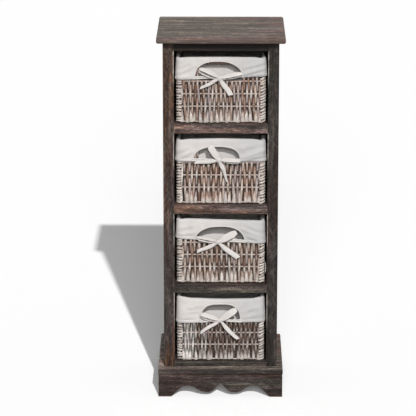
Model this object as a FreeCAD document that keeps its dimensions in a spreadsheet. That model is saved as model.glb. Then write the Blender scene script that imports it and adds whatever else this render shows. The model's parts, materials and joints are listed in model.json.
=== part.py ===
import FreeCAD, Part
import math
import os
import re
import Sketcher

# Basket storage unit: a narrow wooden tower with four open compartments, each holding a woven
# basket with a cloth liner. Millimetres, +Z up, front towards -Y, origin on the floor at the
# middle of the footprint. Baskets and shelves are numbered from the top.

BASKET_COUNT = 4

# Driving sizes
SIZES = {
    # top board and base board
    "overall_width": 280,
    "overall_depth": 250,
    "board_thickness": 13,
    "board_round": 4,
    "side_overhang": 13.5,
    "front_overhang": 22,
    # face frame
    "stile_width": 24,
    "frame_thickness": 14,
    "frame_ease": 1,
    "header_height": 20,
    "rail_height": 20,
    "opening_height": 163,
    # carcass
    "panel_thickness": 12,
    "back_thickness": 4,
    "shelf_thickness": 10,
    "shelf_slack": 0.2,
    "cleat_width": 12,
    "cleat_height": 12,
    "cleat_setback": 10,
    # plinth
    "plinth_height": 65,
    "apron_thickness": 14,
    "apron_inset": 1,
    "foot_width": 28,
    "arch_height": 26,
    "arch_round": 24,
    "valley_height": 10.5,
    "valley_round": 20,
    "cusp_height": 32.5,
    "side_arch_round": 18,
    "block_side": 18,
    "block_height": 40,
    # dowels, screws and nails
    "dowel_diameter": 6,
    "dowel_length": 24,
    "dowel_seat": 8,
    "dowel_end_gap": 0.5,
    "bore_clearance": 0.1,
    "screw_diameter": 3.6,
    "screw_head_diameter": 7.2,
    "screw_head_height": 2.4,
    "screw_grip": 8,
    "base_screw_grip": 22,
    "nail_diameter": 1.6,
    "nail_head_diameter": 3.4,
    "nail_head_height": 1.2,
    "nail_grip": 14,
    "fastener_inset": 32,
    # basket: woven body and its wire frame
    "basket_side_gap": 4.5,
    "basket_top_gap": 18,
    "basket_recess": 8,
    "basket_rear_gap": 10,
    "basket_lift": 0.3,
    "weave_thickness": 8,
    "weave_corner": 12,
    "weave_inner_corner": 4,
    "weave_foot_round": 6,
    "hand_hole_width": 100,
    "hand_hole_height": 28,
    "hand_hole_drop": 14,
    "hand_hole_round": 22,
    "wire_diameter": 3,
    "post_diameter": 4,
    "floor_rod_diameter": 2.4,
    "first_ring": 10,
    "sill_ring_drop": 9,
    # basket: cloth liner and its tie
    "liner_thickness": 1.6,
    "liner_gap": 0.3,
    "cuff_depth": 46,
    "hem_height": 6,
    "hem_bulge": 1,
    "notch_width": 106,
    "notch_drop": 8,
    "notch_round": 25,
    "tape_width": 8,
    "tape_thickness": 1.2,
    "cord_height": 4,
    "loop_length": 50,
    "loop_opening": 5,
    "tail_length": 50,
    "knot_width": 10,
    "knot_height": 9,
    "knot_depth": 9,
    "knot_round": 2.5,
}

# The scallop's half span between cusp and foot is set out in equal parts, counted from the cusp
SCALLOP_PARTS = 37
ARCH_PART = 25
VALLEY_PART = 10

# Places and sizes that follow from the driving sizes
LAYOUT = {
    "body_half": "overall_width / 2 - side_overhang",
    "opening_half": "body_half - stile_width",
    "panel_inner": "body_half - panel_thickness",
    "panel_middle": "body_half - panel_thickness / 2",
    "board_front": "-overall_depth / 2",
    "board_rear": "overall_depth / 2",
    "frame_front": "front_overhang - overall_depth / 2",
    "frame_rear": "frame_front + frame_thickness",
    "frame_middle": "frame_front + frame_thickness / 2",
    "back_front": "overall_depth / 2 - back_thickness",
    "base_under": "plinth_height - board_thickness",
    "lowest_shelf": "plinth_height + shelf_thickness",
    "level_pitch": "opening_height + rail_height",
    "header_under": "lowest_shelf + 4 * opening_height + 3 * rail_height",
    "top_under": "header_under + header_height",
    "body_height": "top_under - plinth_height",
    "apron_half": "overall_width / 2 - apron_inset",
    "apron_front": "apron_inset - overall_depth / 2",
    "apron_rear": "overall_depth / 2 - apron_inset",
    "apron_inner_half": "apron_half - apron_thickness",
    "apron_inner_front": "apron_front + apron_thickness",
    "apron_inner_rear": "apron_rear - apron_thickness",
    "scallop_span": "apron_half - foot_width",
    "arch_centre": f"scallop_span * {ARCH_PART} / {SCALLOP_PARTS}",
    "valley_centre": f"scallop_span * {VALLEY_PART} / {SCALLOP_PARTS}",
    "fastener_front": "frame_rear + fastener_inset",
    "fastener_rear": "back_front - fastener_inset",
    "basket_width": "2 * (opening_half - basket_side_gap)",
    "basket_front": "frame_front + basket_recess",
    "basket_depth": "back_front - basket_rear_gap - basket_front",
    "basket_height": "opening_height - basket_top_gap",
    "cuff_offset": "liner_gap + liner_thickness",
    "hem_offset": "cuff_offset + hem_bulge",
    "bag_inset": "weave_thickness + liner_gap",
    "rim_top": "basket_height + cuff_offset",
    "cuff_bottom": "rim_top - cuff_depth",
    "hole_bottom": "basket_height - hand_hole_drop - hand_hole_height",
    "notch_height": "cuff_depth - notch_drop",
    "ring_pitch": "(hole_bottom - sill_ring_drop - first_ring) / 3",
    "wire_inset": "weave_thickness / 2",
    "wire_half": "basket_width / 2 - wire_inset",
    "wire_bend": "weave_corner - wire_inset",
    "wire_run_half": "wire_half - wire_bend",
    "wire_front": "basket_front + wire_inset",
    "wire_rear": "basket_front + basket_depth - wire_inset",
    "wire_top": "basket_height - wire_inset",
    "post_inset": "wire_bend * (1 - sqrt(0.5))",
}

# How each bow lies, from the top basket down: direction in degrees from +X towards +Z, and
# share of the usual length, of the left loop, right loop, left tail and right tail
BOWS = (
    ((156, 0.96), (10, 0.94), (206, 0.92), (-59, 0.9)),
    ((126, 0.74), (-6, 0.9), (188, 1.04), (-70, 1.04)),
    ((168, 0.96), (28, 0.92), (206, 1), (-41, 1.16)),
    ((169, 0.84), (34, 0.84), (216, 1.04), (-53, 1.2)),
)

# Where fasteners and rods lie, as shares of the length that they are spread over
STILE_DOWEL_SHARES = (0.12, 0.5, 0.88)
NAIL_SHARES = (0.04, 0.27, 0.5, 0.73, 0.96)
END_SCREW_SHARE = 0.7
SIDE_SCREW_SHARE = 0.35
FLOOR_ROD_SHARES = (-0.5, 0, 0.5)

doc = FreeCAD.newDocument("basket_storage_unit")
size_sheet = doc.addObject("Spreadsheet::Sheet", "Sizes")
layout_sheet = doc.addObject("Spreadsheet::Sheet", "Layout")

# Finished sub-parts by node name, and the bores cut into each board
pieces = {}
bores = {}


def formula(text, own_sheet=None):
    """Turns plain size names into references to the two sheets."""

    def reference(match):
        name = match.group()
        sheet = "Sizes" if name in SIZES else "Layout"
        return name if sheet == own_sheet else sheet + "." + name

    return re.sub(r"[a-z]+(?:_[a-z]+)+", reference, text)


def size(name):
    """The value of a driving or worked-out size."""
    sheet = size_sheet if name in SIZES else layout_sheet
    return float(sheet.get(name))


def fill_sheets():
    for row, (name, value) in enumerate(SIZES.items(), start=1):
        size_sheet.set(f"A{row}", name)
        size_sheet.set(f"B{row}", str(value))
        size_sheet.setAlias(f"B{row}", name)
    doc.recompute()
    for row, (name, text) in enumerate(LAYOUT.items(), start=1):
        layout_sheet.set(f"A{row}", name)
        layout_sheet.set(f"B{row}", "=" + formula(text, "Layout"))
        layout_sheet.setAlias(f"B{row}", name)
        doc.recompute()


def place(item, corner):
    for axis, text in zip("xyz", corner):
        item.setExpression("Placement.Base." + axis, formula(text))


def origin_plane(body, role):
    return next(feature for feature in body.Origin.OriginFeatures if feature.Role == role)


def sketch_on(body, name, role):
    sketch = body.newObject("Sketcher::SketchObject", name)
    sketch.AttachmentSupport = [(origin_plane(body, role), "")]
    sketch.MapMode = "FlatFace"
    return sketch


def block(name, lengths, corner):
    """A squared block as a padded rectangle, with its lowest corner at the given place."""
    length, width, height = lengths
    body = doc.addObject("PartDesign::Body", name)
    sketch = sketch_on(body, name + "_outline", "XY_Plane")
    points = [FreeCAD.Vector(x, y, 0) for x, y in ((0, 0), (1, 0), (1, 1), (0, 1))]
    for start, end in zip(points, points[1:] + points[:1]):
        sketch.addGeometry(Part.LineSegment(start, end), False)
    for line in range(4):
        sketch.addConstraint(Sketcher.Constraint("Coincident", line, 2, (line + 1) % 4, 1))
        sketch.addConstraint(Sketcher.Constraint("Horizontal" if line % 2 == 0 else "Vertical", line))
    sketch.addConstraint(Sketcher.Constraint("Coincident", 0, 1, -1, 1))
    along = sketch.addConstraint(Sketcher.Constraint("DistanceX", 0, 1, 0, 2, 1))
    across = sketch.addConstraint(Sketcher.Constraint("DistanceY", 1, 1, 1, 2, 1))
    sketch.setExpression(f"Constraints[{along}]", formula(length))
    sketch.setExpression(f"Constraints[{across}]", formula(width))
    pad = body.newObject("PartDesign::Pad", name + "_pad")
    pad.Profile = sketch
    pad.setExpression("Length", formula(height))
    body.Tip = pad
    place(body, corner)
    doc.recompute()
    return body


def round_edges(body, radius, chosen):
    """Rounds the edges of a body for which chosen(edge middle, edge direction, box) is true."""
    base = body.Tip
    box = base.Shape.BoundBox
    names = []
    for number, edge in enumerate(base.Shape.Edges, start=1):
        middle = edge.valueAt((edge.FirstParameter + edge.LastParameter) / 2)
        direction = edge.tangentAt((edge.FirstParameter + edge.LastParameter) / 2)
        if chosen(middle, direction, box):
            names.append(f"Edge{number}")
    fillet = body.newObject("PartDesign::Fillet", body.Name + "_round")
    fillet.Base = (base, names)
    fillet.setExpression("Radius", formula(radius))
    body.Tip = fillet
    doc.recompute()
    return body


def near(value, limit):
    return abs(value - limit) < 1e-4


def upright(middle, direction, box):
    return abs(direction.z) > 0.99


def clear_of_rear(middle, direction, box):
    return not near(middle.y, box.YMax)


def front_upright(middle, direction, box):
    return near(middle.y, box.YMin) and abs(direction.z) > 0.99


def front_level(middle, direction, box):
    return near(middle.y, box.YMin) and abs(direction.x) > 0.99


def top_inward(middle, direction, box):
    return near(middle.z, box.ZMax) and abs(direction.y) > 0.99


def top_across(middle, direction, box):
    return near(middle.z, box.ZMax) and abs(direction.x) > 0.99


def bottom_rim(middle, direction, box):
    return near(middle.z, box.ZMin)


def combine(kind, name, base, tool):
    result = doc.addObject(kind, name)
    result.Base = base
    result.Tool = tool
    return result


def group(name, members):
    compound = doc.addObject("Part::Compound", name)
    compound.Links = members
    return compound


# Directions in which fasteners point, as turns from +Z
TURNS = {
    "+x": FreeCAD.Rotation(FreeCAD.Vector(0, 1, 0), 90),
    "-x": FreeCAD.Rotation(FreeCAD.Vector(0, 1, 0), -90),
    "+y": FreeCAD.Rotation(FreeCAD.Vector(1, 0, 0), -90),
    "-y": FreeCAD.Rotation(FreeCAD.Vector(1, 0, 0), 90),
    "+z": FreeCAD.Rotation(),
    "-z": FreeCAD.Rotation(FreeCAD.Vector(1, 0, 0), 180),
}


def shifted(point, direction, distance):
    """A place moved by a distance along one of the named directions."""
    axis = "xyz".index(direction[1])
    moved = list(point)
    moved[axis] = f"{point[axis]} {direction[0]} ({distance})"
    return tuple(moved)


def rod(name, diameter, length, start, direction):
    cylinder = doc.addObject("Part::Cylinder", name)
    cylinder.setExpression("Radius", formula(f"({diameter}) / 2"))
    cylinder.setExpression("Height", formula(length))
    cylinder.Placement = FreeCAD.Placement(FreeCAD.Vector(), TURNS[direction])
    place(cylinder, start)
    return cylinder


def countersink(name, wide, narrow, height, start, direction):
    cone = doc.addObject("Part::Cone", name)
    cone.setExpression("Radius1", formula(f"({wide}) / 2"))
    cone.setExpression("Radius2", formula(f"({narrow}) / 2"))
    cone.setExpression("Height", formula(height))
    cone.Placement = FreeCAD.Placement(FreeCAD.Vector(), TURNS[direction])
    place(cone, start)
    return cone


def add_bore(bore, boards):
    for board in boards:
        bores.setdefault(board, []).append(bore)


def dowel(name, joint_face, direction, seat, boards):
    """A dowel that lies seat deep behind the joint face and the rest of its length past it."""
    start = shifted(joint_face, direction, f"-({seat})")
    bore_start = shifted(joint_face, direction, f"-({seat}) - dowel_end_gap")
    bore = rod(
        name + "_bore",
        "dowel_diameter + 2 * bore_clearance",
        "dowel_length + 2 * dowel_end_gap",
        bore_start,
        direction,
    )
    add_bore(bore, boards)
    return rod(name, "dowel_diameter", "dowel_length", start, direction)


def headed(name, kind, length, start, direction, boards):
    """A screw or nail with a sunk head; its head is flush with the face that it starts from."""
    diameter = f"{kind}_diameter"
    head = f"{kind}_head_diameter"
    head_height = f"{kind}_head_height"
    wider = " + 2 * bore_clearance"
    bore_shank = rod(name + "_bore_shank", diameter + wider, f"{length} + dowel_end_gap", start, direction)
    bore_head = countersink(
        name + "_bore_head", head + wider, diameter + wider, head_height, start, direction
    )
    add_bore(combine("Part::Fuse", name + "_bore", bore_shank, bore_head), boards)
    shank = rod(name + "_shank", diameter, length, start, direction)
    sunk_head = countersink(name + "_head", head, diameter, head_height, start, direction)
    return combine("Part::Fuse", name, shank, sunk_head)


# Top board and base board


def make_boards():
    lengths = ("overall_width", "overall_depth", "board_thickness")
    for name, under in (("top_board", "top_under"), ("base_board", "base_under")):
        board = block(name + "_blank", lengths, ("-overall_width / 2", "board_front", under))
        pieces[name] = round_edges(board, "board_round", clear_of_rear)


# Face frame


def make_stiles():
    lengths = ("stile_width", "frame_thickness", "body_height")
    for name, side in (("left_stile", "-body_half"), ("right_stile", "opening_half")):
        stile = block(name + "_blank", lengths, (side, "frame_front", "plinth_height"))
        pieces[name] = round_edges(stile, "frame_ease", front_upright)


def shelf_top(number):
    """Height of the shelf that carries the numbered basket."""
    return f"(lowest_shelf + {BASKET_COUNT - number} * level_pitch)"


def rail_places():
    """Name, underside and height of each rail of the face frame."""
    yield "header_rail", "header_under", "header_height"
    for number in range(1, BASKET_COUNT):
        yield f"shelf_rail_{number}", f"{shelf_top(number)} - rail_height", "rail_height"
    yield "bottom_rail", "plinth_height", "shelf_thickness"


def make_rails():
    dowels = []
    for name, under, height in rail_places():
        lengths = ("2 * opening_half", "frame_thickness", height)
        rail = block(name + "_blank", lengths, ("-opening_half", "frame_front", under))
        pieces[name] = round_edges(rail, "frame_ease", front_level)
        middle = f"{under} + {height} / 2"
        for side, direction, sign in (("left", "-x", "-"), ("right", "+x", "")):
            joint_face = (f"{sign}opening_half", "frame_middle", middle)
            boards = (name, f"{side}_stile")
            dowels.append(dowel(f"{name}_{side}_dowel", joint_face, direction, "dowel_length / 2", boards))
    pieces["rail_dowels"] = group("rail_dowels", dowels)


# Carcass


def make_side_panels():
    lengths = ("panel_thickness", "back_front - frame_rear", "body_height")
    for name, side in (("left_side_panel", "-body_half"), ("right_side_panel", "panel_inner")):
        pieces[name] = block(name + "_blank", lengths, (side, "frame_rear", "plinth_height"))


def make_back_panel():
    lengths = ("2 * body_half", "back_thickness", "body_height")
    corner = ("-body_half", "back_front", "plinth_height")
    pieces["back_panel"] = block("back_panel_blank", lengths, corner)


def make_shelves():
    lengths = (
        "2 * (panel_inner - shelf_slack)",
        "back_front - frame_rear - shelf_slack",
        "shelf_thickness",
    )
    for number in range(1, BASKET_COUNT + 1):
        corner = ("shelf_slack - panel_inner", "frame_rear", f"{shelf_top(number)} - shelf_thickness")
        pieces[f"shelf_{number}"] = block(f"shelf_{number}", lengths, corner)


def make_cleats():
    """Battens under the three upper shelves, screwed to the side panels."""
    lengths = ("cleat_width", "back_front - frame_rear - 2 * cleat_setback", "cleat_height")
    screws = []
    for number in range(1, BASKET_COUNT):
        under = f"{shelf_top(number)} - shelf_thickness - cleat_height"
        middle = f"{under} + cleat_height / 2"
        sides = (
            ("left", "-panel_inner", "-x", "cleat_width - panel_inner"),
            ("right", "panel_inner - cleat_width", "+x", "panel_inner - cleat_width"),
        )
        for side, corner_x, direction, head_face in sides:
            name = f"{side}_cleat_{number}"
            pieces[name] = block(
                name + "_blank", lengths, (corner_x, "frame_rear + cleat_setback", under)
            )
            for end in ("front", "rear"):
                screws.append(
                    headed(
                        f"{name}_{end}_screw",
                        "screw",
                        "(cleat_width + screw_grip)",
                        (head_face, f"fastener_{end}", middle),
                        direction,
                        (name, f"{side}_side_panel"),
                    )
                )
    pieces["cleat_screws"] = group("cleat_screws", screws)


def make_carcass_joints():
    """Dowels of the stiles and the top board, screws of the base board, nails of the back panel."""
    stile_dowels = []
    top_dowels = []
    base_screws = []
    nails = []
    for side, middle in (("left", "-panel_middle"), ("right", "panel_middle")):
        panel = f"{side}_side_panel"
        for number, share in enumerate(STILE_DOWEL_SHARES, start=1):
            joint_face = (middle, "frame_rear", f"plinth_height + {share} * body_height")
            boards = (f"{side}_stile", panel)
            stile_dowels.append(
                dowel(f"{side}_stile_dowel_{number}", joint_face, "+y", "dowel_seat", boards)
            )
        for end in ("front", "rear"):
            joint_face = (middle, f"fastener_{end}", "top_under")
            top_dowels.append(
                dowel(f"{side}_{end}_top_dowel", joint_face, "-z", "dowel_seat", ("top_board", panel))
            )
            base_screws.append(
                headed(
                    f"{side}_{end}_base_screw",
                    "screw",
                    "(board_thickness + base_screw_grip)",
                    (middle, f"fastener_{end}", "base_under"),
                    "+z",
                    ("base_board", panel),
                )
            )
        for number, share in enumerate(NAIL_SHARES, start=1):
            nails.append(
                headed(
                    f"{side}_nail_{number}",
                    "nail",
                    "(back_thickness + nail_grip)",
                    (middle, "board_rear", f"plinth_height + {share} * body_height"),
                    "-y",
                    ("back_panel", panel),
                )
            )
    pieces["stile_dowels"] = group("stile_dowels", stile_dowels)
    pieces["top_dowels"] = group("top_dowels", top_dowels)
    pieces["base_screws"] = group("base_screws", base_screws)
    pieces["back_panel_nails"] = group("back_panel_nails", nails)


# Plinth


def tangent_arc(start, start_direction, end):
    """The arc from start to end that leaves start along start_direction, and its end direction."""
    chord = end - start
    unit = FreeCAD.Vector(start_direction).normalize()
    normal = FreeCAD.Vector(-unit.y, unit.x, 0)
    radius = chord.dot(chord) / (2 * chord.dot(normal))
    centre = start + normal * radius
    half_turn = math.atan2(chord.dot(normal), chord.dot(unit))
    turn = FreeCAD.Rotation(FreeCAD.Vector(0, 0, 1), math.degrees(half_turn))
    middle = centre + turn.multVec(start - centre)
    end_direction = turn.multVec(turn.multVec(unit))
    return Part.Arc(start, middle, end), end_direction


def touching(centre, radius, outside):
    """Where a line from an outside point touches a circle, on the circle's left seen from its centre."""
    away = outside - centre
    along = FreeCAD.Vector(away).normalize()
    left = FreeCAD.Vector(-along.y, along.x, 0)
    share = radius / away.Length
    return centre + along * (radius * share) + left * (radius * math.sqrt(1 - share * share))


def scallop_half(sign):
    """Lower edge of the front apron from a foot's inner corner to the middle cusp."""
    foot = FreeCAD.Vector(size("scallop_span"), 0, 0)
    arch = FreeCAD.Vector(size("arch_centre"), size("arch_height"), 0)
    valley = FreeCAD.Vector(size("valley_centre"), size("valley_height"), 0)
    cusp = FreeCAD.Vector(0, size("cusp_height"), 0)
    up = FreeCAD.Vector(0, 1, 0)
    slope_end = touching(arch - up * size("arch_round"), size("arch_round"), foot)
    lobe_end = touching(valley + up * size("valley_round"), size("valley_round"), cusp)
    half_way = (arch + valley) / 2
    for point in (foot, slope_end, arch, half_way, valley, lobe_end):
        point.x *= sign
    inwards = FreeCAD.Vector(-sign, 0, 0)
    shoulder, _ = tangent_arc(arch, -inwards, slope_end)
    falling, falling_direction = tangent_arc(arch, inwards, half_way)
    landing, _ = tangent_arc(half_way, falling_direction, valley)
    lobe, _ = tangent_arc(valley, inwards, lobe_end)
    foot_slope = Part.LineSegment(foot, slope_end)
    cusp_slope = Part.LineSegment(lobe_end, cusp)
    return [foot_slope, shoulder, falling, landing, lobe, cusp_slope]


def make_front_apron():
    body = doc.addObject("PartDesign::Body", "front_apron_blank")
    sketch = sketch_on(body, "front_apron_outline", "XZ_Plane")
    half = size("apron_half")
    top = size("base_under")
    for sign in (-1, 1):
        for edge in scallop_half(sign):
            sketch.addGeometry(edge, False)
        corners = ((size("scallop_span"), 0), (half, 0), (half, top))
        vectors = [FreeCAD.Vector(sign * x, z, 0) for x, z in corners]
        for start, end in zip(vectors, vectors[1:]):
            sketch.addGeometry(Part.LineSegment(start, end), False)
    left_top = FreeCAD.Vector(-half, top, 0)
    sketch.addGeometry(Part.LineSegment(left_top, FreeCAD.Vector(half, top, 0)), False)
    pad = body.newObject("PartDesign::Pad", "front_apron_pad")
    pad.Profile = sketch
    pad.setExpression("Length", formula("apron_thickness"))
    body.Tip = pad
    place(body, ("0", "apron_inner_front", "0"))
    doc.recompute()
    pieces["front_apron"] = body


def make_side_aprons():
    """Side boards of the plinth, each with one wide arch between its feet."""
    length = "apron_rear - apron_inner_front"
    for name, side in (("left_apron", "-apron_half"), ("right_apron", "apron_inner_half")):
        board = block(
            name + "_board",
            ("apron_thickness", length, "base_under"),
            (side, "apron_inner_front", "0"),
        )
        arch = block(
            name + "_arch",
            ("3 * apron_thickness", f"{length} - 2 * foot_width", "arch_height"),
            (f"{side} - apron_thickness", "apron_inner_front + foot_width", "0"),
        )
        round_edges(arch, "side_arch_round", top_across)
        pieces[name] = combine("Part::Cut", name + "_arched", board, arch)


def make_back_apron():
    lengths = ("2 * apron_inner_half", "apron_thickness", "base_under - arch_height")
    corner = ("-apron_inner_half", "apron_inner_rear", "arch_height")
    pieces["back_apron"] = block("back_apron_blank", lengths, corner)


def make_corner_blocks():
    """Glue blocks in the four plinth corners, screwed to both aprons and to the base board."""
    lengths = ("block_side", "block_side", "block_height")
    under = "base_under - block_height"
    screws = []
    through = "(block_side + screw_grip)"
    for side, sign, outwards in (("left", "-", "-x"), ("right", "", "+x")):
        outer_x = f"{sign}apron_inner_half"
        inner_x = f"{sign}(apron_inner_half - block_side)"
        low_x = outer_x if side == "left" else inner_x
        centre_x = f"{sign}(apron_inner_half - block_side / 2)"
        ends = (
            ("front", "-y", "apron_inner_front", "apron_inner_front + block_side", "+"),
            ("rear", "+y", "apron_inner_rear - block_side", "apron_inner_rear - block_side", "-"),
        )
        for end, endwards, low_y, head_y, step in ends:
            name = f"{end}_{side}_corner_block"
            pieces[name] = block(name + "_blank", lengths, (low_x, low_y, under))
            outer_y = "apron_inner_front" if end == "front" else "apron_inner_rear"
            centre_y = f"{outer_y} {step} block_side / 2"
            end_board = "front_apron" if end == "front" else "back_apron"
            high = f"{under} + {END_SCREW_SHARE} * block_height"
            low = f"{under} + {SIDE_SCREW_SHARE} * block_height"
            screws.append(
                headed(
                    f"{name}_end_screw", "screw", through, (centre_x, head_y, high), endwards,
                    (name, end_board),
                )
            )
            screws.append(
                headed(
                    f"{name}_side_screw", "screw", through, (inner_x, centre_y, low), outwards,
                    (name, f"{side}_apron"),
                )
            )
    pieces["corner_block_screws"] = group("corner_block_screws", screws)


# Baskets


def basket_floor(number):
    return f"({shelf_top(number)} + basket_lift)"


def centred(name, inset, low, height, corner_radius, number):
    """A block of the basket's plan, drawn in by inset, with rounded upright corners."""
    body = block(
        name,
        (f"basket_width - 2 * ({inset})", f"basket_depth - 2 * ({inset})", height),
        (
            f"{inset} - basket_width / 2",
            f"basket_front + {inset}",
            f"{basket_floor(number)} + {low}",
        ),
    )
    return round_edges(body, corner_radius, upright)


def front_cut(name, width, front, depth, low, height, radius, number):
    """A cutter with a flat sill and rounded upper corners that goes through a front wall."""
    body = block(
        name,
        (width, depth, height),
        (f"-({width}) / 2", f"basket_front + {front}", f"{basket_floor(number)} + {low}"),
    )
    return round_edges(body, radius, top_inward)


def make_weave(number):
    """The woven body: an open box with rounded corners and a hand hole under the front rim."""
    name = f"basket_{number}_weave"
    outer = centred(name + "_outer", "0", "0", "basket_height", "weave_corner", number)
    round_edges(outer, "weave_foot_round", bottom_rim)
    inner = centred(name + "_inner", "weave_thickness", "weave_thickness", "basket_height",
                    "weave_inner_corner", number)
    shell = combine("Part::Cut", name + "_shell", outer, inner)
    hole = front_cut(name + "_hand_hole", "hand_hole_width", "-weave_thickness", "3 * weave_thickness",
                     "hole_bottom", "hand_hole_height", "hand_hole_round", number)
    pieces[name] = combine("Part::Cut", name + "_body", shell, hole)


def make_liner(number):
    """The cloth bag inside the weave, with its cuff over the rim, hem and hand-hole notch."""
    name = f"basket_{number}_liner"
    cuff = centred(name + "_cuff", "-cuff_offset", "cuff_bottom", "cuff_depth",
                   "weave_corner + cuff_offset", number)
    hem = centred(name + "_hem", "-hem_offset", "cuff_bottom", "hem_height",
                  "weave_corner + hem_offset", number)
    over_rim = centred(name + "_over_rim", "-liner_gap", "cuff_bottom - hem_height",
                       "hem_height + cuff_depth - liner_thickness", "weave_corner + liner_gap", number)
    bag = centred(name + "_bag", "bag_inset", "bag_inset", "rim_top - bag_inset",
                  "weave_inner_corner - liner_gap", number)
    inside = centred(name + "_inside", "bag_inset + liner_thickness", "bag_inset + liner_thickness",
                     "rim_top", "weave_inner_corner - cuff_offset", number)
    notch = front_cut(name + "_notch", "notch_width", "-2 * hem_offset", "2 * hem_offset - liner_gap / 2",
                      "cuff_bottom - hem_height", "hem_height + notch_height", "notch_round", number)
    skirt = combine("Part::Fuse", name + "_skirt", cuff, hem)
    lid = combine("Part::Cut", name + "_lid", skirt, over_rim)
    notched = combine("Part::Cut", name + "_notched", lid, notch)
    whole = combine("Part::Fuse", name + "_whole", notched, bag)
    pieces[name] = combine("Part::Cut", name + "_hollow", whole, inside)


def bend(name, centre, degrees):
    """A quarter turn of wire around an upright axis."""
    torus = doc.addObject("Part::Torus", name)
    torus.setExpression("Radius1", formula("wire_bend"))
    torus.setExpression("Radius2", formula("wire_diameter / 2"))
    torus.Angle3 = 90
    turn = FreeCAD.Rotation(FreeCAD.Vector(0, 0, 1), degrees)
    torus.Placement = FreeCAD.Placement(FreeCAD.Vector(), turn)
    place(torus, centre)
    return torus


def fuse_all(name, members):
    fusion = doc.addObject("Part::MultiFuse", name)
    fusion.Shapes = members
    return fusion


def wire_ring(name, height):
    """A rounded rectangle of wire in the middle of the basket wall."""
    members = []
    side_run = "wire_rear - wire_front - 2 * wire_bend"
    for end, y in (("front", "wire_front"), ("rear", "wire_rear")):
        start = ("-wire_run_half", y, height)
        members.append(rod(f"{name}_{end}", "wire_diameter", "2 * wire_run_half", start, "+x"))
    for side, x in (("left", "-wire_half"), ("right", "wire_half")):
        start = (x, "wire_front + wire_bend", height)
        members.append(rod(f"{name}_{side}", "wire_diameter", side_run, start, "+y"))
    corners = (
        ("wire_run_half", "wire_rear - wire_bend"),
        ("-wire_run_half", "wire_rear - wire_bend"),
        ("-wire_run_half", "wire_front + wire_bend"),
        ("wire_run_half", "wire_front + wire_bend"),
    )
    for quarter, (x, y) in enumerate(corners):
        members.append(bend(f"{name}_bend_{quarter}", (x, y, height), 90 * quarter))
    return fuse_all(name, members)


def make_wire_frame(number):
    """Wire rings in the basket wall, welded to four corner posts and to three floor rods."""
    name = f"basket_{number}_wire_frame"
    floor = basket_floor(number)
    heights = ["wire_inset", "wire_top"]
    heights += [f"first_ring + {step} * ring_pitch" for step in (1, 2, 3)]
    members = []
    for index, height in enumerate(heights):
        members.append(wire_ring(f"{name}_ring_{index}", f"{floor} + {height}"))
    post_places = [
        (f"{sign}(wire_half - post_inset)", y)
        for sign in ("-", "")
        for y in ("wire_front + post_inset", "wire_rear - post_inset")
    ]
    for index, (x, y) in enumerate(post_places):
        start = (x, y, f"{floor} + wire_inset")
        members.append(rod(f"{name}_post_{index}", "post_diameter", "wire_top - wire_inset", start, "+z"))
    for index, share in enumerate(FLOOR_ROD_SHARES):
        start = (f"{share} * wire_half", "wire_front", f"{floor} + wire_inset")
        members.append(
            rod(f"{name}_floor_rod_{index}", "floor_rod_diameter", "wire_rear - wire_front", start, "+y")
        )
    pieces[name] = fuse_all(name, members)


def tape_along(outline, degrees):
    """A flat tape whose side outline lies along a direction, as wide as the tape."""
    width = size("tape_width")
    face = Part.Face(outline)
    solid = face.extrude(FreeCAD.Vector(0, 0, width))
    solid.translate(FreeCAD.Vector(0, 0, -width / 2))
    solid.rotate(FreeCAD.Vector(), FreeCAD.Vector(0, 1, 0), -degrees)
    return solid


def loop_outline(length, offset):
    """Side outline of a flattened loop of tape, drawn in by offset, with a round tip."""
    radius = size("loop_opening") / 2 + size("tape_thickness") - offset
    root = size("tape_thickness") - offset / 2
    tip = length - size("loop_opening") / 2 - size("tape_thickness")
    front_root = FreeCAD.Vector(offset, -root, 0)
    front_tip = FreeCAD.Vector(tip, -radius, 0)
    rear_tip = FreeCAD.Vector(tip, radius, 0)
    rear_root = FreeCAD.Vector(offset, root, 0)
    edges = [
        Part.LineSegment(front_root, front_tip).toShape(),
        Part.Arc(front_tip, FreeCAD.Vector(tip + radius, 0, 0), rear_tip).toShape(),
        Part.LineSegment(rear_tip, rear_root).toShape(),
        Part.LineSegment(rear_root, front_root).toShape(),
    ]
    return Part.Wire(edges)


def loop(degrees, share):
    length = share * size("loop_length")
    outer = tape_along(loop_outline(length, 0), degrees)
    inner = tape_along(loop_outline(length, size("tape_thickness")), degrees)
    return outer.cut(inner)


def tail(degrees, share):
    """A loose end of tape that leans from the knot back towards the weave."""
    length = share * size("tail_length")
    half = size("tape_thickness") / 2
    lean = size("knot_depth") / 2 - size("tape_thickness")
    corners = [(0, -half), (length, lean - half), (length, lean + half), (0, half)]
    points = [FreeCAD.Vector(x, y, 0) for x, y in corners]
    return tape_along(Part.makePolygon(points + points[:1]), degrees)


def make_tie(number):
    """The tape that comes out of the hem at the notch, tied in a bow over its lower edge."""
    name = f"basket_{number}_tie"
    knot_depth = size("knot_depth")
    knot = Part.makeBox(
        size("knot_width"), knot_depth, size("knot_height"),
        FreeCAD.Vector(-size("knot_width") / 2, -knot_depth / 2, -size("knot_height") / 2),
    )
    knot = knot.makeFillet(size("knot_round"), knot.Edges)
    bridge = Part.makeBox(
        size("notch_width") - 2 * size("liner_gap"), size("tape_thickness"), size("cord_height"),
        FreeCAD.Vector(
            size("liner_gap") - size("notch_width") / 2,
            knot_depth / 2 - size("tape_thickness"),
            -size("cord_height") / 2,
        ),
    )
    left_loop, right_loop, left_tail, right_tail = BOWS[number - 1]
    parts = [bridge, loop(*left_loop), loop(*right_loop), tail(*left_tail), tail(*right_tail)]
    tie = doc.addObject("Part::Feature", name)
    tie.Shape = knot.multiFuse(parts)
    place(
        tie,
        (
            "0",
            "basket_front - liner_gap - knot_depth / 2",
            f"{basket_floor(number)} + cuff_bottom + hem_height / 2",
        ),
    )
    pieces[name] = tie


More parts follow.
